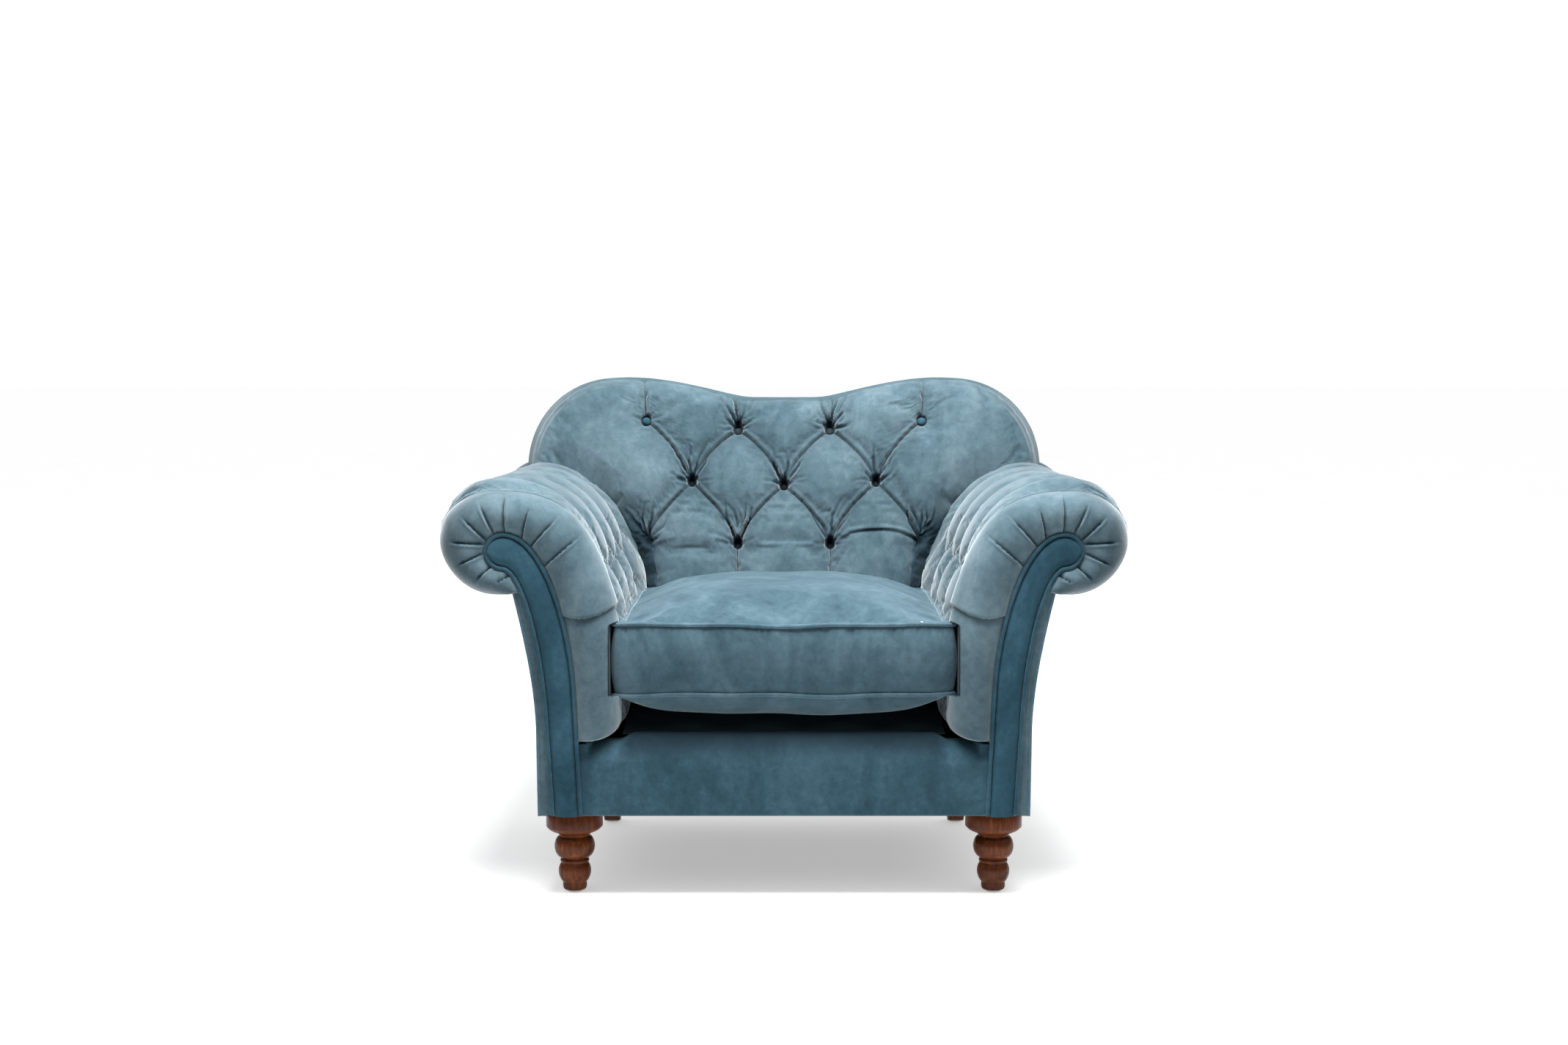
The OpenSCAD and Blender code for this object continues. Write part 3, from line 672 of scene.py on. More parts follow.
def back_relief(p):
    """The buttoned velvet of the inside back, at points in X and Z."""
    relief = Velvet(p, 7)
    top, mid, low = ([back_buttons[row, k] for k in range(len(BACK_ROWS[row][1]))] for row in BACK_ROWS)
    for upper_row, lower_row, sag in ((top, mid, 0.02), (mid, low, -0.04)):
        for upper in upper_row:
            for lower in lower_row:
                if abs(upper[0] - lower[0]) < BUTTON_STEP * 0.75:
                    lap = 1 if upper[0] < lower[0] else -1
                    relief.fold(swag(upper, lower, sag), 0.017, 0.023, lap)
    for button in top:
        away = np.sign(button[0])
        relief.fold([button, button + [away * 0.003, 0.05], button + [away * 0.006, 0.16]], 0.020, 0.014,
                    away, crease=0.62, belly=0.022)
    for button in low[1:3]:
        away = np.sign(button[0])
        relief.fold([button, button - [away * 0.004, 0.25]], 0.019, 0.016, -away, crease=0.6)
    for button in (low[0], low[3]):
        away = np.sign(button[0])
        relief.fold([button, button + [away * 0.04, -0.014], button + [away * 0.11, -0.010]], 0.020, 0.020,
                    away)
        relief.fold([button, button + [away * 0.03, 0.018], button + [away * 0.09, 0.060]], 0.016, 0.008,
                    -away)
    for (row, k), button in back_buttons.items():
        if row == "top" and k in (0, 3):
            relief.pit(button, 0.020, 0.0100)
            relief.fan(button, 15, 70, 3, 0.034, 0.0018)
            relief.fan(button, 110, 165, 3, 0.034, 0.0018)
        else:
            relief.pit(button, 0.038, 0.0092, drop=2.0 if row == "top" else 1.4)
            relief.fan(button, 55, 125, 9, 0.072, 0.0054)
            relief.fan(button, 4, 48, 4, 0.040, 0.0032)
            relief.fan(button, 132, 176, 4, 0.040, 0.0032)
        if row != "low":
            relief.fan(button, 215, 240, 2, 0.030, 0.0014)
            relief.fan(button, 300, 325, 2, 0.030, 0.0014)
    bow = bezier([low[2] + [0.012, 0.006], low[2] + [0.06, 0.030], low[3] + [-0.06, 0.030],
                  low[3] + [-0.012, 0.006]], 10)
    relief.fold(bow, 0.004, 0.004, 1, crease=0.8, lip=0.002, width=0.003)
    return relief


def coons(bottom, top, left, right):
    """A grid of points that fills the patch between four boundary lines."""
    rows, cols = len(left), len(bottom)
    u = np.linspace(0, 1, cols)[None, :, None]
    v = np.linspace(0, 1, rows)[:, None, None]
    ruled = (1 - v) * bottom[None] + v * top[None] + (1 - u) * left[:, None] + u * right[:, None]
    corners = ((1 - u) * (1 - v) * bottom[0] + u * (1 - v) * bottom[-1]
               + (1 - u) * v * top[0] + u * v * top[-1])
    return ruled - corners


def relaxed(grid, rounds):
    """Evens out the inside of a grid, holding its edges."""
    for _ in range(rounds):
        grid[1:-1, 1:-1] = (grid[:-2, 1:-1] + grid[2:, 1:-1] + grid[1:-1, :-2] + grid[1:-1, 2:]) / 4
    return grid


def shoulder_pleats(p):
    """Small pleats where the velvet is eased round the crest's shoulders."""
    q = np.stack([np.abs(p[:, 0]), p[:, 1]], 1) - [HALF_W - SHOULDER, CREST - SHOULDER]
    angle = np.degrees(np.arctan2(q[:, 1], q[:, 0]))
    rim = smooth_step((np.linalg.norm(q, axis=1) - SHOULDER + 0.030) / 0.02)
    total = np.zeros(len(p))
    for at in (12, 27, 43, 58, 74):
        away = (angle - at) * math.pi / 180 * SHOULDER
        total += 0.0042 * rim * np.exp(-np.abs(away) / np.where(away > 0, 0.0016, 0.006))
    return total


def contact_shade(gap):
    """Painted shade where velvet pieces meet, from the distance to the join."""
    return (1 - smooth_step(gap / 0.090)) ** 2


def back_side(inner, rows):
    """A side of the inside back's face: it follows the arm's skin up to where the crest's edge begins."""
    rising = SKIN[:SKIN_TOP]
    stop = int(np.argmax((rising[:, 0] > inner[-1, 0] - 0.02) | (rising[:, 1] > inner[-1, 1] - 0.012)))
    start = int(np.argmax(rising[:, 1] > back_low.z))
    hidden = rising[start:stop + 1] - left_of(rising)[start:stop + 1] * 0.016
    return resample(chain(hidden[:-1], bezier([hidden[-1], hidden[-1] + [0.012, 0.012],
                                               inner[-1] - [0.0, 0.012], inner[-1]], 8)), rows)


def back_plan(crest, full, rows):
    """The inside back in X and Z, and how deep each point lies: its face, rounded edge and sides."""
    cols = len(crest)
    out = left_of(crest)
    inner = crest - out * EDGE_R
    side = back_side(inner, rows)
    bottom = np.stack([np.linspace(-side[0, 0], side[0, 0], cols), np.full(cols, side[0, 1])], 1)
    flat = relaxed(coons(bottom, inner, side * [-1, 1], side), 400)
    plan, layers = [flat], [np.zeros((rows, cols))]
    for a in np.radians(np.linspace(0, 90, 18)[1:]):
        plan.append((inner + out * EDGE_R * math.sin(a))[None])
        layers.append(np.full((1, cols), EDGE_R * (1 - math.cos(a))))
    for w in np.linspace(EDGE_R, STUFFED, 30)[1:]:
        plan.append((crest + (full - crest) * (w - EDGE_R) / (STUFFED - EDGE_R))[None])
        layers.append(np.full((1, cols), w))
    return np.concatenate(plan), np.concatenate(layers).ravel()


def build_inside_back():
    """The stuffed, buttoned back: its face and rounded crest, and the plain sides behind them."""
    cols, rows = 520, 230
    full = resample(crest_curve(), cols)
    crest = full * [1 - DRAWN_IN, 1]
    plan, layer = back_plan(crest, full, rows)
    shape = plan.shape[:2]
    p = plan.reshape(-1, 2)
    face = layer < 1e-6
    arm_gap, arm_side, _ = to_polyline(np.stack([np.abs(p[:, 0]), p[:, 1]], 1), SKIN[::3])
    arm_gap = np.where(arm_side < 0, 0, arm_gap)
    crest_gap = np.full(len(p), 1.0)
    crest_gap[face], _, _ = to_polyline(p[face], crest[::8])
    tuck = (1 - smooth_step(arm_gap / 0.036)) ** 1.5 * smooth_step((crest_gap - EDGE_R) / 0.18)
    puff = 0.012 * smooth_step((crest_gap - EDGE_R) / 0.16) * smooth_step(arm_gap / 0.16)
    low = smooth_step((0.72 - p[:, 1]) / 0.22)
    depth = layer + np.where(face, (0.018 + 0.018 * low) * tuck - puff, 0)
    grid = np.stack([p[:, 0], back_y(p[:, 1], depth), p[:, 1]], 1).reshape(*shape, 3)
    normals = grid_normals(grid)
    normals *= -np.sign(normals[rows // 2, cols // 2, 1])
    relief = back_relief(p)
    fade = np.exp(-layer / 0.045) * np.where(face, 1 - 0.9 * smooth_step(tuck * 1.5), 1)
    height = relief.height() * fade - shoulder_pleats(p) * np.exp(-layer / 0.03)
    grid += normals * height.reshape(shape)[:, :, None]
    held = (relief.creases > 0.006).reshape(shape)
    held[rows + 6:] = True
    grid += settle(grid, held, 2.5, 0.024)
    # painted shade: folds and pits, and a darkening along the arms that is strongest low down
    shade = relief.shade() * fade + (0.15 + 0.65 * low) * contact_shade(arm_gap) * face
    piece = grid_piece("inside_back_velvet", grid, VELVET, np.clip(shade, 0, 1))
    # painted shade: the crest's side band takes a copy of the velvet with little sheen
    piece.data.materials.append(SIDE)
    for face_on_side in piece.data.polygons[(rows + 12) * (cols - 1):]:
        face_on_side.material_index = 2
    return face_toward(piece, 0, -1, 0)


def build_button(name, place, out, radius, material, dome=0.005):
    """A covered button: a domed disc with a tucked-under rim."""
    axis = Vector(out).normalized()
    across = axis.orthogonal().normalized()
    other = axis.cross(across)
    rim = [(0.01, dome), (0.35, dome * 0.93), (0.65, dome * 0.70), (0.88, dome * 0.32),
           (1.0, -0.0005), (0.93, -0.0035), (0.55, -0.0050), (0.01, -0.0050)]
    rings = [[Vector(place) + (across * math.cos(a) + other * math.sin(a)) * share * radius + axis * rise
              for a in np.linspace(0, 2 * math.pi, 24, endpoint=False)] for share, rise in rim]
    return edit(grid_piece(name, np.array(rings), material, close_cols=True), 3e-4)


inside_back = build_inside_back()
finished(inside_back, "chair", ["inside_back"])

lean_out = Vector((0, -math.cos(RAKE), math.sin(RAKE)))
button_pieces = []
for (row, k), at in back_buttons.items():
    shallow = row == "top" and k in (0, 3)
    # painted shade: buttons deep in their pits take the dark button copy of the velvet, the shallow outer
    # ones the facing's
    sunk, radius, material = (0.023, 0.0080, FACING) if shallow else (0.046, 0.0080, BUTTON)
    place = Vector((at[0], back_y(at[1], -0.012), at[1])) - lean_out * sunk
    button_pieces.append(build_button(f"back_button_{row}_{k}", place, lean_out, radius, material))
finished(join("back_buttons_covered", button_pieces), "chair", ["back_buttons"])

# ---------- inside arms, with their pleated fronts ----------

NOSE = 0.055                     # depth of the rounded, pleated front of the arm
OVERLAP = 0.017                  # how far the roll laps over the top of the front
SWELL = 0.009                    # how far the front swells out on its outer side
PRESSED_X = 0.2985               # where the arm's front stops beside the cushion
PRESSED_Z = (0.335, 0.495)       # the height between which it does
ARM_ROWS = {"low": (BASE + 0.352, (0.080, 0.226, 0.372, 0.518)),
            "high": (BASE + 0.470, (0.153, 0.299, 0.445, 0.591))}
# pleats on the front, from the facing's edge outward, in X and Z from the roll's centre
FRONT_PLEATS = [((-0.083, -0.050), (-0.152, 0.008)), ((-0.059, -0.018), (-0.113, 0.041)),
                ((-0.045, -0.003), (-0.060, 0.058)), ((-0.016, 0.008), (-0.015, 0.082)),
                ((0.005, 0.007), (0.030, 0.061)), ((0.017, -0.006), (0.060, 0.036)),
                ((0.022, -0.014), (0.087, -0.009)), ((0.022, -0.030), (0.073, -0.053)),
                ((0.006, -0.049), (0.040, -0.082)), ((-0.030, -0.062), (0.004, -0.083))]


def arm_relief(p, seed):
    """The buttoned velvet of an arm, at points (length along the skin, depth behind the front)."""
    relief = Velvet(p, seed)
    lows, highs = ([np.array([skin_at(z), y]) for y in depths] for z, depths in ARM_ROWS.values())
    for k, high in enumerate(highs):
        for low in lows[k:k + 2]:
            d = low - high
            relief.fold(bezier([high, high + d * [0.26, 0.40], high + d * [0.62, 0.88], low], 10),
                        0.030, 0.034, -1, crease=0.45, belly=0.036)
        relief.fold([high, high + [0.06, 0.010], high + [0.12, 0.012], high + [0.20, 0.006]],
                    0.034, 0.018, 1, crease=0.5, belly=0.030)
    for low in lows:
        relief.fold([low, low - [0.16, 0.0]], 0.024, 0.016, -1, crease=0.5)
    for button in lows:
        relief.pit(button, 0.034, 0.010, drop=1)
        relief.fan(button, -70, 70, 9, 0.050, 0.0034)
        relief.fan(button, 100, 260, 6, 0.035, 0.0014)
    for button in highs:
        relief.pit(button, 0.036, 0.010, drop=1)
        relief.fan(button, -60, 60, 7, 0.045, 0.0032)
        relief.fan(button, 120, 240, 7, 0.045, 0.0020)
    return relief


def front_relief(p):
    """Depth of the front's radial knife pleats, at points in X and Z."""
    total = np.zeros(len(p))
    for k, (start, end) in enumerate(FRONT_PLEATS):
        line = ROLL + np.array([start, end])
        line = np.array([line[0] - (line[1] - line[0]) * 0.15, line[0], line[1]])
        near = close_to(p, line, 0.05)
        dist, side, along = to_polyline(p[near], line)
        fade = smooth_step((1 - along) / 0.35) * smooth_step(along / 0.2)
        lap = side * (1 if k < 4 else -1) > 0
        w = np.where(lap, 0.0009, 0.0038)
        lip = 0.0022 * lap * np.exp(-((dist - 0.0030) / 0.0026) ** 2)
        total[near] += fade * (0.0054 * np.exp(-dist / w) - lip + 0.0014 * np.exp(-(dist / 0.014) ** 2))
    return total


def arm_front(rim, count):
    """The rounded front, in rows from the facing's edge to the rim, and each row's share of the way."""
    edge = resample(board_outline(), 900)
    near = np.array([np.argmin(np.linalg.norm(edge - c, axis=1)) for c in rim], float)
    near = np.convolve(np.pad(np.maximum.accumulate(near), 10, mode="edge"), np.ones(21) / 21, "valid")
    foot = edge[np.clip(near, 0, 899).astype(int)]
    inward = (rim - foot) / np.maximum(np.linalg.norm(rim - foot, axis=1), 1e-6)[:, None]
    foot = foot - inward * 0.003
    reach = np.linalg.norm(rim - foot, axis=1)
    turn = np.radians(np.linspace(0, 90, 42))[1:]
    nose_curve = np.stack([0.42 + 0.58 * np.sin(turn), NOSE - (NOSE + 0.006) * np.cos(turn)], 1)
    rise = bezier([(0, BOARD_FACE), (0.10, -0.001), (0.25, -0.006), (0.42, -0.006)], 20)
    profile = resample(chain(rise, nose_curve), count)
    full = np.clip(reach / 0.055, 0.3, 1)
    front = np.zeros((count, len(rim), 3))
    for j, (share, y) in enumerate(profile):
        plan = foot + (rim - foot) * share
        y_here = np.where(y < BOARD_FACE, BOARD_FACE + (y - BOARD_FACE) * full, y)
        front[j] = np.stack([plan[:, 0], y_here, plan[:, 1]], 1)
    return front, profile[:, 0]


def arm_body(skin, outward, drop, swell, count):
    """The arm behind its front, in rows that go back to the plane of the outside back."""
    end = np.array([back_y(z, STUFFED) for z in skin[:, 1]]) - FRONT
    body = np.zeros((count, len(skin), 3))
    for i, t in enumerate(np.linspace(0, 1, count + 1)[1:] ** 1.15):
        y = NOSE + 0.001 + (end - NOSE - 0.001) * t
        under = drop * (1 - smooth_step((y - NOSE) / 0.045)) - swell * (1 - smooth_step((y - NOSE) / 0.12))
        plan = skin - outward * under[:, None]
        body[i] = np.stack([plan[:, 0], y, plan[:, 1]], 1)
    return body


def seat_seam(grid, past_top):
    """The pull-in at seat height, where the pad above laps over a plain one below: relief and shade."""
    run_in = np.clip((ARM_X + 0.095 - grid[:, :, 0]) / 0.090, 0, 1)
    seam = BASE + 0.346 + 0.019 * run_in ** 2 - 0.006 * np.sin(math.pi * run_in)
    gap = np.where(past_top < 0, grid[:, :, 2] - seam, 1.0)
    step = np.where(gap > 0, 0.0035 * np.exp(-gap / 0.03) - 0.005 * np.exp(-gap / 0.0016),
                    -0.0065 * np.exp(gap / 0.014))
    return step, 0.5 * np.exp(-np.abs(gap) / 0.002)


def build_inside_arm(side_name):
    """The stuffed arm: its pleated front, and its buttoned inside face, which goes on over the roll."""
    side = SIDES[side_name]
    seed = 21 if side > 0 else 34
    count_s, count_front, count_body = 420, 60, 330
    s = np.linspace(0, SKIN_LENGTH, count_s)
    past_top = s - SKIN_RUN[SKIN_TOP]
    skin = at_length(SKIN, s)
    outward = left_of(skin)
    if outward[60, 0] > 0:
        outward = -outward
    # the front's rim lies lower than the roll over the top, and the roll laps over it
    angle = np.degrees(np.arctan2(skin[:, 1] - ROLL[1], skin[:, 0] - ROLL[0]))
    span = np.clip((angle - 18) / (164 - 18), 0, 1)
    drop = OVERLAP * np.sin(math.pi * span) ** 1.3
    swell = SWELL * smooth_step((50 - angle) / 70) * smooth_step(past_top / 0.05)
    front_grid, shares = arm_front(skin + outward * (swell - drop)[:, None], count_front)
    grid = np.concatenate([front_grid, arm_body(skin, outward, drop, swell, count_body)])
    shape = grid.shape[:2]
    normals = grid_normals(grid)
    normals *= -np.sign(normals[shape[0] // 2, 60, 0])
    q = np.concatenate([shares, np.full(count_body, 2.0)])[:, None]
    relief = arm_relief(np.stack([np.broadcast_to(s, shape), grid[:, :, 1]], 2).reshape(-1, 2), seed)
    behind = smooth_step((grid[:, :, 1] - NOSE + 0.006) / 0.012)
    under_roll = 1 - smooth_step((s - SKIN_LENGTH + 0.10) / 0.08)[None]
    fade = behind * under_roll
    height = relief.height().reshape(shape) * fade
    # painted shade: the folds, pits, pleats and the seat seam darken the velvet through its fold attribute
    shade = relief.shade().reshape(shape) * fade
    pleats = front_relief(grid[:, :, [0, 2]].reshape(-1, 2)).reshape(shape) * (q <= 1.01)
    height -= pleats
    shade += np.clip((pleats - 0.0022) / 0.0045, 0, 0.5)
    # the crease between the front and the roll, from inside shoulder over to the outside, with painted shade
    # along it
    crease = np.exp(-np.abs(grid[:, :, 1] - NOSE) / 0.0020)
    crease *= smooth_step(span / 0.15) * smooth_step((1 - span) / 0.1)
    height -= 0.0045 * crease
    shade += 0.6 * crease
    front = smooth_step((NOSE + 0.04 - grid[:, :, 1]) / 0.04)
    step, step_shade = seat_seam(grid, past_top)
    height += front * step
    shade += front * step_shade
    height *= smooth_step(q / 0.1)
    grid = grid + normals * height[:, :, None]
    grid[:, :, 1] = np.minimum(grid[:, :, 1], 0.0132 + 10 * smooth_step((q - 0.18) / 0.2))
    held = (relief.creases.reshape(shape) > 0.005) & (behind > 0.5)
    held[:count_front + 4] = True
    grid += settle(grid, held, 2.0, 0.03)
    # the cushion presses into the arm at the front
    pressed = (smooth_step((grid[:, :, 2] - PRESSED_Z[0]) / 0.02)
               * smooth_step((PRESSED_Z[1] - grid[:, :, 2]) / 0.02)
               * smooth_step((0.09 - grid[:, :, 1]) / 0.05))
    keep_out = PRESSED_X * pressed
    # painted shade: the low front and the underside of the roll are painted darker, where less light falls
    low_front = smooth_step((BASE + 0.33 - grid[:, :, 2]) / 0.15) * front
    rounded_under = smooth_step((100 - angle) / 150) * (past_top > 0) * smooth_step((q - 0.2) / 0.5)
    shade += 0.15 * low_front + 0.36 * rounded_under
    # painted shade where the arm meets the cushion
    shade += 0.95 * smooth_step((keep_out + 0.004 - grid[:, :, 0]) / 0.004)
    grid[:, :, 0] = np.maximum(grid[:, :, 0], keep_out)
    grid[:, :, 1] += FRONT
    grid[:, :, 0] *= side
    return sheet(f"inside_arm_{side_name}_velvet", grid, VELVET, (-side, 0, 0.3), np.clip(shade, 0, 1))


for side_name, side in SIDES.items():
    finished(build_inside_arm(side_name), "chair", [f"inside_arm_{side_name}"])
    made = []
    for row, (z, depths) in ARM_ROWS.items():
        s = skin_at(z)
        here, ahead = at_length(SKIN, np.array([s, s + 0.002]))
        run = ahead - here
        out = Vector((-run[1] * side, 0, run[0])).normalized()
        for k, y in enumerate(depths):
            place = Vector((here[0] * side, FRONT + y, here[1])) - out * 0.024
            made.append(build_button(f"arm_button_{side_name}_{row}_{k}", place, out, 0.0095, BUTTON))
    finished(join(f"arm_buttons_{side_name}_covered", made), "chair", [f"arm_buttons_{side_name}"])

# ---------- facings, their piping and the outside arms ----------


def in_plane(points, y, side):
    """Points in X and Z set on a plane across the chair, on one side of it."""
    return np.stack([points[:, 0] * side, np.full(len(points), y), points[:, 1]], 1)


def build_facing(side_name):
    """A padded S-shaped panel: rows across it, from the foot to the round end."""
    side = SIDES[side_name]
    rows, inset = 150, 0.0065
    inner, outer = resample(board_inner(), rows), resample(board_outer(), rows)
    inner = inner - left_of(inner) * inset
    outer = outer + left_of(outer) * inset
    inner[-1] = outer[-1] = (inner[-1] + outer[-1]) / 2
    across = np.linspace(0, 1, 15)
    plan = inner[:, None] + (outer - inner)[:, None] * across[None, :, None]
    bulge = (1 - np.abs(2 * across - 1) ** 4)[None, :] * np.ones((rows, 1))
    y = FRONT + 0.0105 - 0.0095 * bulge
    grid = np.stack([plan[:, :, 0] * side, y, plan[:, :, 1]], 2)
    return sheet(f"arm_facing_{side_name}_velvet", grid, FACING, (0, -1, 0))


def build_outside_arm(side_name):
    """The outside panel, wrapped round its front edge, under the frame and up behind the roll."""
    side = SIDES[side_name]
    rows, rounding = 90, 0.005
    skin = resample(outside_skin(), rows)
    out = -left_of(skin)
    depth = back_y(skin[:, 1], STUFFED) - FRONT
    columns = []
    start = BOARD_FACE + rounding
    wrap = [(-0.0310, 0.0130), (-0.012, 0.0120), (-rounding, BOARD_FACE)]
    wrap += [(-rounding * (1 - math.sin(a)), start - rounding * math.cos(a))
             for a in np.radians(np.linspace(0, 90, 7)[1:])]
    for offset, y in wrap:
        plan = skin + out * offset
        columns.append(np.stack([plan[:, 0], np.full(rows, y), plan[:, 1]], 1))
    rise = np.linspace(0, 1, rows)
    for t in np.linspace(0, 1, 120)[1:]:
        puff = 0.004 * math.sin(math.pi * t) ** 0.5 * np.sin(math.pi * rise) ** 0.6
        plan = skin + out * puff[:, None]
        columns.append(np.stack([plan[:, 0], start + (depth - start) * t, plan[:, 1]], 1))
    grid = np.stack(columns, 1)
    under = grid[0] - (grid[0] - [ARM_X + 0.121, 0, 0]) * [1, 0, 0] * 0.9 + [0, 0, 0.001]
    grid = np.concatenate([under[None], grid])
    grid[:, :, 1] += FRONT
    grid[:, :, 0] *= side
    return sheet(f"outside_arm_{side_name}_velvet", grid, VELVET, (side, 0, 0))


def build_facing_piping(side_name):
    outline = resample(board_outline(), 420)
    outline = outline - left_of(outline) * 0.0038
    outline[:, 1] = np.maximum(outline[:, 1], BASE + PIPING_R)
    path = in_plane(outline, FRONT + 0.0065, SIDES[side_name])
    return tube(f"facing_piping_{side_name}_cord", path, PIPING_R, FACING_PIPING, seed=3)


def build_outside_piping(side_name):
    skin = resample(outside_skin(), 120)
    path = in_plane(skin + left_of(skin) * 0.0035, FRONT + 0.0135, SIDES[side_name])
    return tube(f"outside_piping_{side_name}", path, 0.003, PIPING, seed=5)


for side_name in SIDES:
    finished(build_facing(side_name), "chair", [f"arm_facing_{side_name}"])
    finished(build_outside_arm(side_name), "chair", [f"outside_arm_{side_name}"])
    finished(build_facing_piping(side_name), "chair", [f"facing_piping_{side_name}"])
    finished(build_outside_piping(side_name), "chair")

# ---------- front border and seat deck ----------

LIP_RISE = 0.012                 # how much the border's stuffed top edge swells up between the arms


def build_border():
    """A plain padded panel across the front, rounded over its top edge."""
    xs = np.linspace(border_low.x - 0.0045, border_high.x + 0.0045, 240)
    top = border_high.z
    y0, radius, foot = 0.008, 0.042, 0.006
    section = chain([(0.034, BASE + 0.001), (0.014, BASE + 0.0005)],
                    arc((y0 + foot, BASE + foot), foot, -90, -180, 6),
                    np.stack([np.full(40, y0), np.linspace(BASE + 0.008, top - radius, 40)], 1),
                    arc((y0 + radius, top - radius), radius, 180, 90, 10), [(0.075, top - 0.002)])
    height = np.clip((section[:, 1] - BASE) / (top - BASE), 0, 1)
    puff = 0.0035 * np.sin(math.pi * height) ** 0.5
    ends = np.clip((border_high.x - np.abs(xs)) / 0.03, 0, 1) ** 0.5
    between_arms = smooth_step((ARM_X + 0.006 - np.abs(xs)) / 0.03)
    grid = np.stack([np.broadcast_to(xs, (len(section), len(xs))),
                     section[:, 0][:, None] - puff[:, None] * ends[None] + FRONT,
                     section[:, 1][:, None] + LIP_RISE * height[:, None] ** 2 * between_arms[None]], 2)
    # painted shade: the top of the border, under the cushion's overhang, is painted darker
    under_seat = smooth_step((ARM_X + 0.01 - np.abs(xs)) / 0.03)[None]
    shaded = 0.78 * smooth_step((height - 0.64) / 0.34)[:, None] * under_seat
    boards = FRONT + BOARD_FACE + 0.1 * smooth_step((ARM_X + 0.058 - np.abs(xs)) / 0.03)[None]
    grid[:, :, 1] = np.minimum(grid[:, :, 1], boards)
    return sheet("front_border_velvet", grid, BORDER, (0, -1, 0), shaded)


def build_deck():
    """The seat platform under the cushion: its front lip drops to the border."""
    xs = np.linspace(deck_low.x, deck_high.x, 110)
    top = border_high.z + LIP_RISE
    lip = bezier([(0.048, top - 0.0012), (0.080, top + 0.001), (0.110, deck_high.z - 0.014),
                  (0.180, deck_high.z - 0.001)], 24)
    flat = np.stack([np.linspace(0.180, deck_high.y - FRONT, 80), np.full(80, deck_high.z - 0.001)], 1)
    section = chain(lip, flat)
    dip = 0.0015 * np.sin(section[:, 0] * 60)[:, None] * np.sin(xs * 47)[None]
    grid = np.stack([np.broadcast_to(xs, (len(section), len(xs))),
                     np.broadcast_to(section[:, 0][:, None] + FRONT, (len(section), len(xs))),
                     section[:, 1][:, None] - 0.0015 + dip], 2)
    y = section[:, 0]
    # painted shade under the cushion: dark at the lip, darkest just behind it, lighter further back
    shaded = 0.78 + 0.19 * smooth_step((y - 0.050) / 0.050) - 0.35 * smooth_step((y - 0.16) / 0.15)
    return sheet("seat_deck_velvet", grid, BORDER, (0, 0, 1), np.broadcast_to(shaded[:, None], dip.shape))


finished(build_border(), "chair", ["front_border"])
finished(build_deck(), "chair", ["seat_deck"])

# ---------- outside back and the rear ends of the rolls ----------


def build_outside_back():
    """The rear panel: columns up it, and an edge that rounds forward to the crest's piping."""
    crest = crest_curve()
    foot = chain(outside_skin(), [(HALF_W, ROLL[1])])
    share = np.sin(np.linspace(-math.pi / 2, math.pi / 2, 181))
    xs = (HALF_W - 0.0015) * share
    top = np.interp(xs, crest[:, 0], crest[:, 1])
    ends = np.interp(np.abs(xs), foot[:, 0], foot[:, 1])
    bottom = np.where(np.abs(xs) > foot[0, 0], ends, BASE)
    top = np.maximum(top, bottom + 0.001)
    t = (1 - np.cos(np.linspace(0, math.pi, 121))) / 2
    z = bottom[None] + (top - bottom)[None] * t[:, None]
    x = np.broadcast_to(xs, z.shape)
    half = chain(foot, crest[::-1][:len(crest) // 2 + 1])
    outline = chain(half, half[::-1] * [-1, 1], foot[:1])
    gap, _, _ = to_polyline(np.stack([x.ravel(), z.ravel()], 1), resample(outline, 400))
    edge = np.clip(gap / 0.012, 0, 1)
    puff = 0.002 * smooth_step(gap / 0.12)
    w = STUFFED + (COVER - 0.003) * np.sqrt(1 - (1 - edge) ** 2) + puff
    grid = np.stack([x, back_y(z, w.reshape(z.shape)), z], 2)
    return sheet("outside_back_velvet", grid, VELVET, (0, 1, 0))


def build_roll_end(side_name):
    """A padded disc that closes the rear end of an arm's roll, gathered to its middle."""
    side = SIDES[side_name]
    angles = np.linspace(0, 2 * math.pi, 97)[:-1]
    shares = np.linspace(0.02, 1, 24)[:, None]
    r = (ROLL_R - 0.003) * shares
    gathers = 0.0016 * np.cos(angles * 16)[None] * smooth_step((1 - shares) / 0.5) * shares ** 0.5
    dome = 0.010 * np.sqrt(1 - shares ** 6) - 0.006 * np.exp(-(shares / 0.12) ** 2) + gathers
    x = (ROLL[0] + r * np.cos(angles)) * side
    z = ROLL[1] + r * np.sin(angles)
    grid = np.stack([x, back_y(z, STUFFED + dome), z], 2)
    return sheet(f"scroll_cap_{side_name}_velvet", grid, VELVET, (0, 1, 0), close_cols=True)


def leaning_cord(name, outline, layer, seed):
    """Piping along an outline in a plane that leans with the back."""
    path = np.stack([outline[:, 0], back_y(outline[:, 1], layer), outline[:, 1]], 1)
    return finished(tube(name, path, PIPING_R, PIPING, seed=seed), "chair")


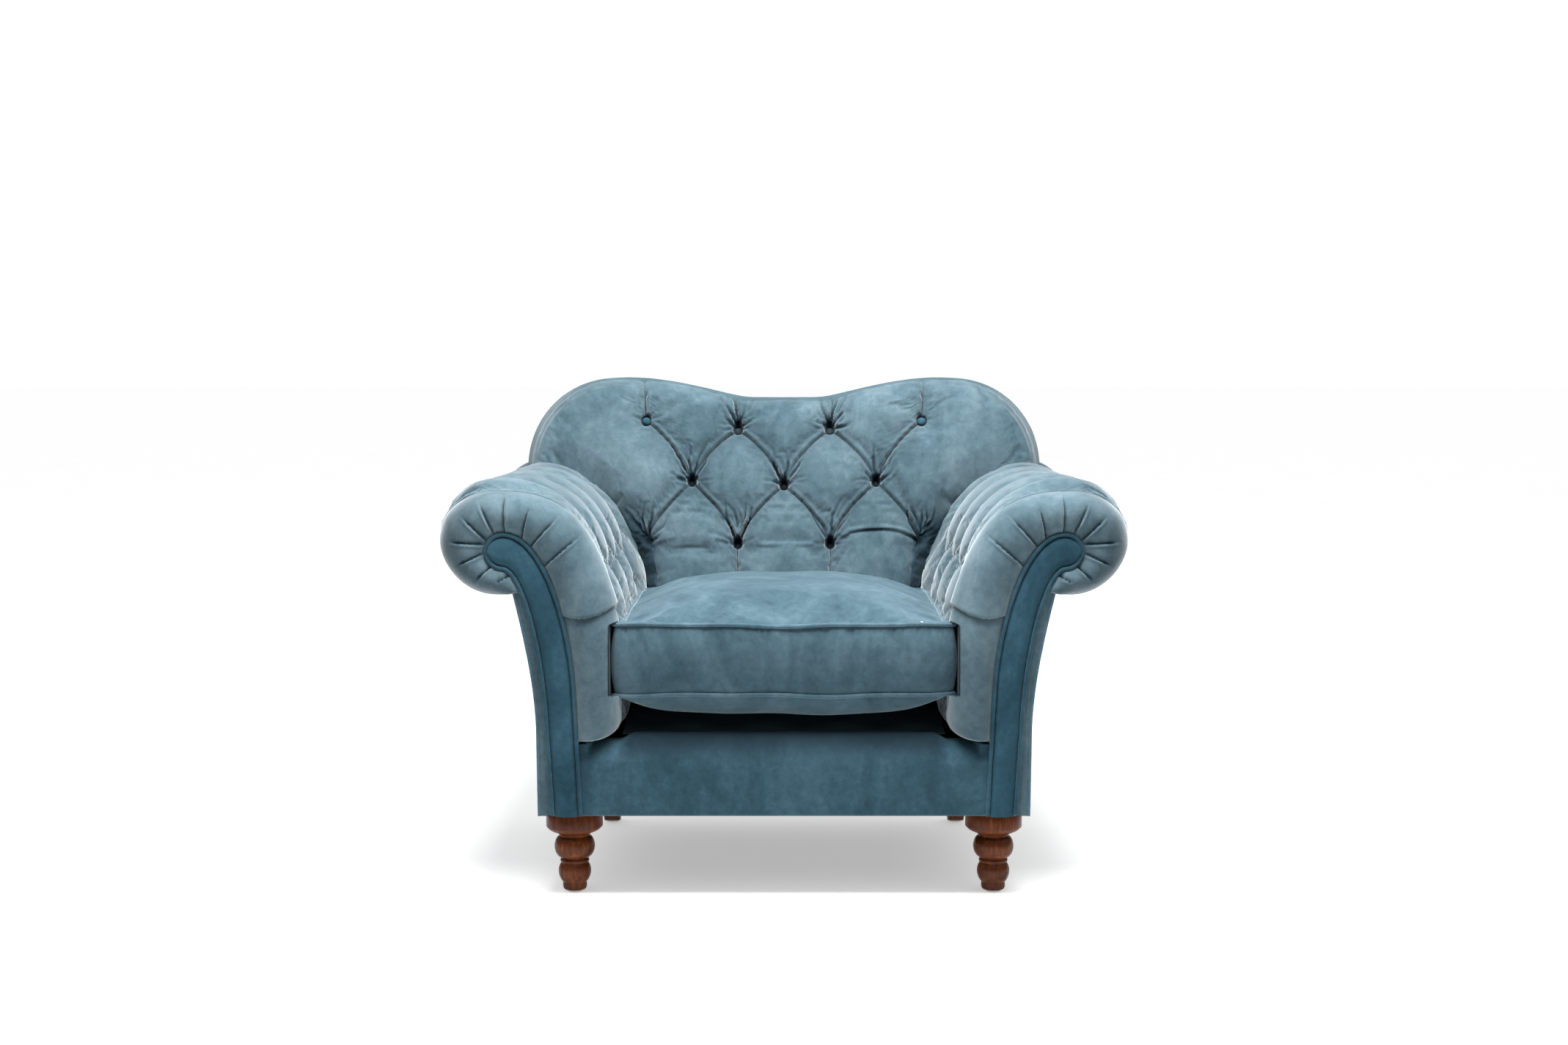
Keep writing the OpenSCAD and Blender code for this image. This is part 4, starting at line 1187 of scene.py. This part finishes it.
finished(build_outside_back(), "chair", ["outside_back"])
crest_line = resample(crest_curve(), 400)
leaning_cord("crest_piping", crest_line - left_of(crest_line) * 0.0025, STUFFED + 0.001, 11)
for side_name, side in SIDES.items():
    finished(build_roll_end(side_name), "chair", [f"scroll_cap_{side_name}"])
    corner = outside_skin() * [side, 1] + [0, 0.0035]
    leaning_cord(f"rear_corner_piping_{side_name}", corner, STUFFED + 0.002, 12)
    ring = arc(ROLL, ROLL_R - 0.0025, 75, -112, 160)
    leaning_cord(f"scroll_cap_piping_{side_name}", ring * [side, 1], STUFFED + 0.001, 13)

# ---------- seat cushion ----------

SEAM_LOW, SEAM_HIGH = (sum(v.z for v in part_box(f"cushion_piping_{k}")) / 2 for k in ("bottom", "top"))
CROWN = cushion_high.z - SEAM_HIGH
SAG = SEAM_LOW - cushion_low.z
ZIP = [sum(v) / 2 for v in zip(*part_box("zip_tape"))]
ZIP_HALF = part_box("zip_tape")[1].x


def crowded(count, crowding):
    """Values from -1 to 1 that crowd toward both ends."""
    return np.sin(np.linspace(-1, 1, count) * crowding) / math.sin(crowding)


def cushion_panel(z, crown, seed):
    """The top or bottom panel of the cushion: a crowned grid, rows going back and columns across."""
    uu, w = np.meshgrid(crowded(280, 1.0), crowded(150, 1.25))
    vv = (w + 1) / 2
    y0 = cushion_low.y + 0.008
    y1 = back_y(z, -0.0125)
    half = cushion_high.x - 0.001 + 0.0205 * (1 - smooth_step(vv / 0.12))
    corner = np.abs(uu) ** 10 * np.abs(w) ** 10
    bow = 0.006 * (1 - uu ** 2) * (1 - smooth_step(vv / 0.2))
    x = uu * half - np.sign(uu) * 0.007 * corner
    y = y0 + (y1 - y0) * vv - np.sign(w) * 0.007 * corner - bow
    across, back = (2.4, 3.2) if crown > 0 else (6, 9)
    rise = crown * (1 - np.abs(uu) ** across) ** 0.9 * (1 - np.abs(w) ** back) ** 0.8
    phase = np.random.default_rng(seed).uniform(0, 6, 3)
    waver = 0.0014 * np.sin(uu * 5 + phase[0]) + 0.0010 * np.sin(uu * 11 + phase[1])
    waver += 0.0012 * np.sin(w * 6 + phase[2])
    return np.stack([x, y, z + waver + rise], 2)


def around(grid):
    """A panel's border, once round."""
    return np.concatenate([grid[0], grid[1:, -1], grid[-1, -2::-1], grid[-2:0:-1, 0]])


def band_drags(x_at, t):
    """How deep the creases in the cushion's front are, at X and a share of the way up from seam to seam."""
    rng = np.random.default_rng(15)
    drags = 0 * x_at * t
    for _ in range(26):
        x = rng.uniform(-0.27, 0.27)
        slant, width, size = rng.uniform(-0.03, 0.03), rng.uniform(0.004, 0.012), rng.uniform(0.0006, 0.0017)
        middle, span = rng.uniform(0.1, 0.9), rng.uniform(0.2, 0.5)
        line = x_at - x - slant * (t - 0.5)
        drags += size * np.exp(-(line / width) ** 2) * np.exp(-((t - middle) / span) ** 2)
    # small gathers under the top seam
    for _ in range(70):
        x, size, tall = rng.uniform(-0.28, 0.28), rng.uniform(0.0004, 0.0016), rng.uniform(0.06, 0.22)
        line = x_at - x - rng.uniform(-0.05, 0.05) * (1 - t)
        drags += size * np.exp(-(line / 0.0026) ** 2) * np.exp(-((1 - t) / tall) ** 2)
    corner = np.clip(1 - np.abs(x_at + 0.255 - 0.045 * (1 - t)) / 0.010, 0, 1)
    return drags + 0.003 * corner * t


def build_cushion():
    """The cushion's cover, and the seams round its top and bottom panels."""
    top = cushion_panel(SEAM_HIGH, CROWN - 0.004, 5)
    bottom = cushion_panel(SEAM_LOW, -(SAG - 0.002), 6)
    held = np.zeros(top.shape[:2], bool)
    top += settle(top, held, 2.5, 0.02, every=2)
    top[:, :, 2] = np.minimum(top[:, :, 2], cushion_high.z + 0.004)
    upper, lower = around(top), around(bottom)
    t = np.linspace(0, 1, 34)[:, None]
    band = lower + (upper - lower) * t[:, :, None]
    d = np.roll(upper, -1, 0) - np.roll(upper, 1, 0)
    out = np.stack([d[:, 1], -d[:, 0]], 1)
    out /= np.maximum(np.linalg.norm(out, axis=1), 1e-9)[:, None]
    front = smooth_step((FRONT + 0.10 - upper[:, 1]) / 0.07)
    facing = np.abs(out[:, 1]) * (out[:, 1] < 0)
    bulge = 0.001 + 0.010 * front * facing + 0.002 * front
    rear = out[:, 1] > 0.5
    bulge[rear] = 0.0
    puff = np.sin(math.pi * t) ** 0.8 * bulge - band_drags(upper[:, 0], t) * front * facing
    slot = (np.abs(band[:, :, 2] - ZIP[2]) < 0.0045) & (np.abs(band[:, :, 0]) < ZIP_HALF) & rear[None]
    puff[slot] = -0.0065
    band[1:-1, :, :2] += (out[None] * puff[:, :, None])[1:-1]
    pieces = [grid_piece("cushion_top", top, CUSHION), grid_piece("cushion_bottom", bottom, CUSHION),
              grid_piece("cushion_band", band, CUSHION, close_cols=True)]
    cushion = edit(join("seat_cushion_velvet", pieces), 2e-5)
    return cushion, upper, lower


cushion, seam_upper, seam_lower = build_cushion()
finished(cushion, "seat_cushion", ["cushion_cover"])
for name, seam in (("top", seam_upper), ("bottom", seam_lower)):
    middle = seam.mean(0)
    shift = (seam - middle) * [1, 1, 0]
    path = seam + shift / np.linalg.norm(shift, axis=1)[:, None] * 0.0026
    cord = tube(f"cushion_piping_{name}_cord", path[::2], PIPING_R, PIPING, closed=True, seed=17)
    finished(cord, "seat_cushion", [f"cushion_piping_{name}"])

# ---------- legs ----------


def front_leg_profile():
    """Turned leg, as (radius, height): foot, vase, ring, ball, cove and round top plate."""
    foot = bezier([(0.0170, GLIDE_TOP), (0.0215, 0.004), (0.0215, 0.012), (0.0205, 0.017)], 10)
    vase = bezier([(0.0215, 0.018), (0.0290, 0.026), (0.0310, 0.042), (0.0240, 0.0505)], 16)
    ring = bezier([(0.0225, 0.0520), (0.0262, 0.0525), (0.0262, 0.0580), (0.0225, 0.0590)], 8)
    ball = bezier([(0.0235, 0.0600), (0.0385, 0.0660), (0.0385, 0.0920), (0.0270, 0.0985)], 24)
    cove = bezier([(0.0265, 0.1005), (0.0290, 0.1060), (0.0440, 0.1070), (0.0470, 0.1140)], 14)
    plate = chain(bezier([(0.0470, 0.1140), (0.0490, 0.1145), (0.0495, 0.1165), (0.0495, 0.1185)], 5),
                  [(0.0495, 0.1435), (0.0485, 0.1449), (0.0002, 0.1449)])
    return chain([(0.0002, GLIDE_TOP)], foot, vase, ring, ball, cove, plate)


def build_rear_leg(side_name):
    """Square tapered leg, swept back, with softened corners."""
    low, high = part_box(f"leg_rear_{side_name}")
    middle = (low.x + high.x) / 2
    top_y = FRONT + 0.585
    foot = GLIDE_TOP - BASE
    ahead = bezier([(-0.027, 0.0), (-0.027, -0.4 * BASE), (-0.008, -0.7 * BASE), (0.035, foot)], 30)
    behind = bezier([(0.029, 0.0), (0.028, -0.3 * BASE), (0.014, -0.62 * BASE), (0.069, foot)], 30)
    angles = np.linspace(0, 2 * math.pi, 48, endpoint=False)
    squared = [np.sign(f(angles)) * np.abs(f(angles)) ** 0.28 for f in (np.cos, np.sin)]
    rings = []
    for front_point, rear_point in zip(ahead, behind):
        centre, half_y = (front_point + rear_point) / 2, (rear_point[0] - front_point[0]) / 2
        drop = -centre[1] / BASE
        half_x = 0.0225 - 0.0065 * drop
        rings.append(np.stack([middle + half_x * squared[0], top_y + centre[0] + half_y * squared[1],
                               np.full(48, BASE + centre[1])], 1))
    ends = [np.broadcast_to(ring.mean(0), ring.shape) for ring in (rings[0], rings[-1])]
    grid = np.array([ends[0], *rings, ends[1]])
    return edit(grid_piece(f"leg_rear_{side_name}_swept", grid, LEG_WOOD, close_cols=True))


for side_name in SIDES:
    low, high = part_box(f"leg_front_{side_name}")
    centre = ((low.x + high.x) / 2, (low.y + high.y) / 2)
    leg = turned_body(f"leg_front_{side_name}_turned", front_leg_profile(), centre, LEG_WOOD)
    finished(leg, "chair", [f"leg_front_{side_name}"])
    finished(build_rear_leg(side_name), "chair", [f"leg_rear_{side_name}"])

# ---------- materials for the CAD parts that stay ----------

for part in frame["record"]["subparts"]:
    node = bpy.data.objects.get(part["node"])
    if node is None or node.type != "MESH":
        continue
    node.data.materials.clear()
    node.data.materials.append(BY_SLOT[part["material_slot"]])

# ---------- camera, floor and light ----------

CAMERA_AT = (0.0, FRONT - 3.6, 0.933)
CAMERA_TILT = 4.46               # degrees below level
LENS = 48.92
FLOOR_REACH = 60                 # far enough for the floor to meet the backdrop


def area_light(name, place, size, power, aim=(0, 0, 0.5)):
    data = bpy.data.lights.new(name, "AREA")
    data.shape = "RECTANGLE"
    data.size, data.size_y = size
    data.energy = power
    lamp = linked(name, data)
    lamp.location = place
    lamp.rotation_euler = (Vector(aim) - Vector(place)).to_track_quat("-Z", "Y").to_euler()


def build_world():
    """A white backdrop that lights the chair only softly, so that the lamps do the shading."""
    world = bpy.data.worlds.new("studio")
    world.use_nodes = True
    tree = world.node_tree
    place = add(tree, "ShaderNodeTexCoord").outputs["Generated"]
    apart = add(tree, "ShaderNodeSeparateXYZ")
    tree.links.new(place, apart.inputs["Vector"])
    shade = ramp(tree, apart.outputs["Z"], (0.0, 0.34), (0.30, 0.28), (1.0, 0.20))
    backdrop = add(tree, "ShaderNodeMix", data_type="RGBA")
    tree.links.new(add(tree, "ShaderNodeLightPath").outputs["Is Camera Ray"], backdrop.inputs["Factor"])
    tree.links.new(shade, backdrop.inputs["A"])
    backdrop.inputs["B"].default_value = (1, 1, 1, 1)
    tree.links.new(backdrop.outputs["Result"], tree.nodes["Background"].inputs["Color"])
    bpy.context.scene.world = world


def build_floor():
    pale = mottled("pale_floor", (0.90, 0.90, 0.90), 0.8, 0.0, 0.01, 3.0)
    glow = pale.node_tree.nodes["Principled BSDF"]
    glow.inputs["Emission Color"].default_value = (1, 1, 1, 1)
    glow.inputs["Emission Strength"].default_value = 0.40
    corners = [(x * FLOOR_REACH, y * FLOOR_REACH, 0) for x, y in ((-1, -1), (1, -1), (1, 1), (-1, 1))]
    mesh_piece("floor", corners, [(0, 1, 2, 3)], pale)


def build_camera():
    data = bpy.data.cameras.new("camera")
    data.sensor_width = 36.0
    data.lens = LENS
    data.clip_end = 200
    camera = linked("camera", data)
    camera.location = CAMERA_AT
    camera.rotation_euler = (math.radians(90 - CAMERA_TILT), 0, 0)
    bpy.context.scene.camera = camera


def build_lights():
    """A broad lamp over the seat, a faint one at each side and a wide, soft sky."""
    area_light("overhead", (0.05, -0.64, 1.86), (1.5, 0.8), 108)
    area_light("overhead_left", (-2.3, -0.9, 2.3), (1.4, 1.6), 4)
    area_light("overhead_right", (2.3, -0.9, 2.3), (1.4, 1.6), 4)
    sun = bpy.data.lights.new("sky", "SUN")
    sun.energy = 1.35
    sun.angle = math.radians(120)
    linked("sky", sun)


build_floor()
build_camera()
build_lights()
build_world()
bpy.context.scene.view_settings.view_transform = "Standard"
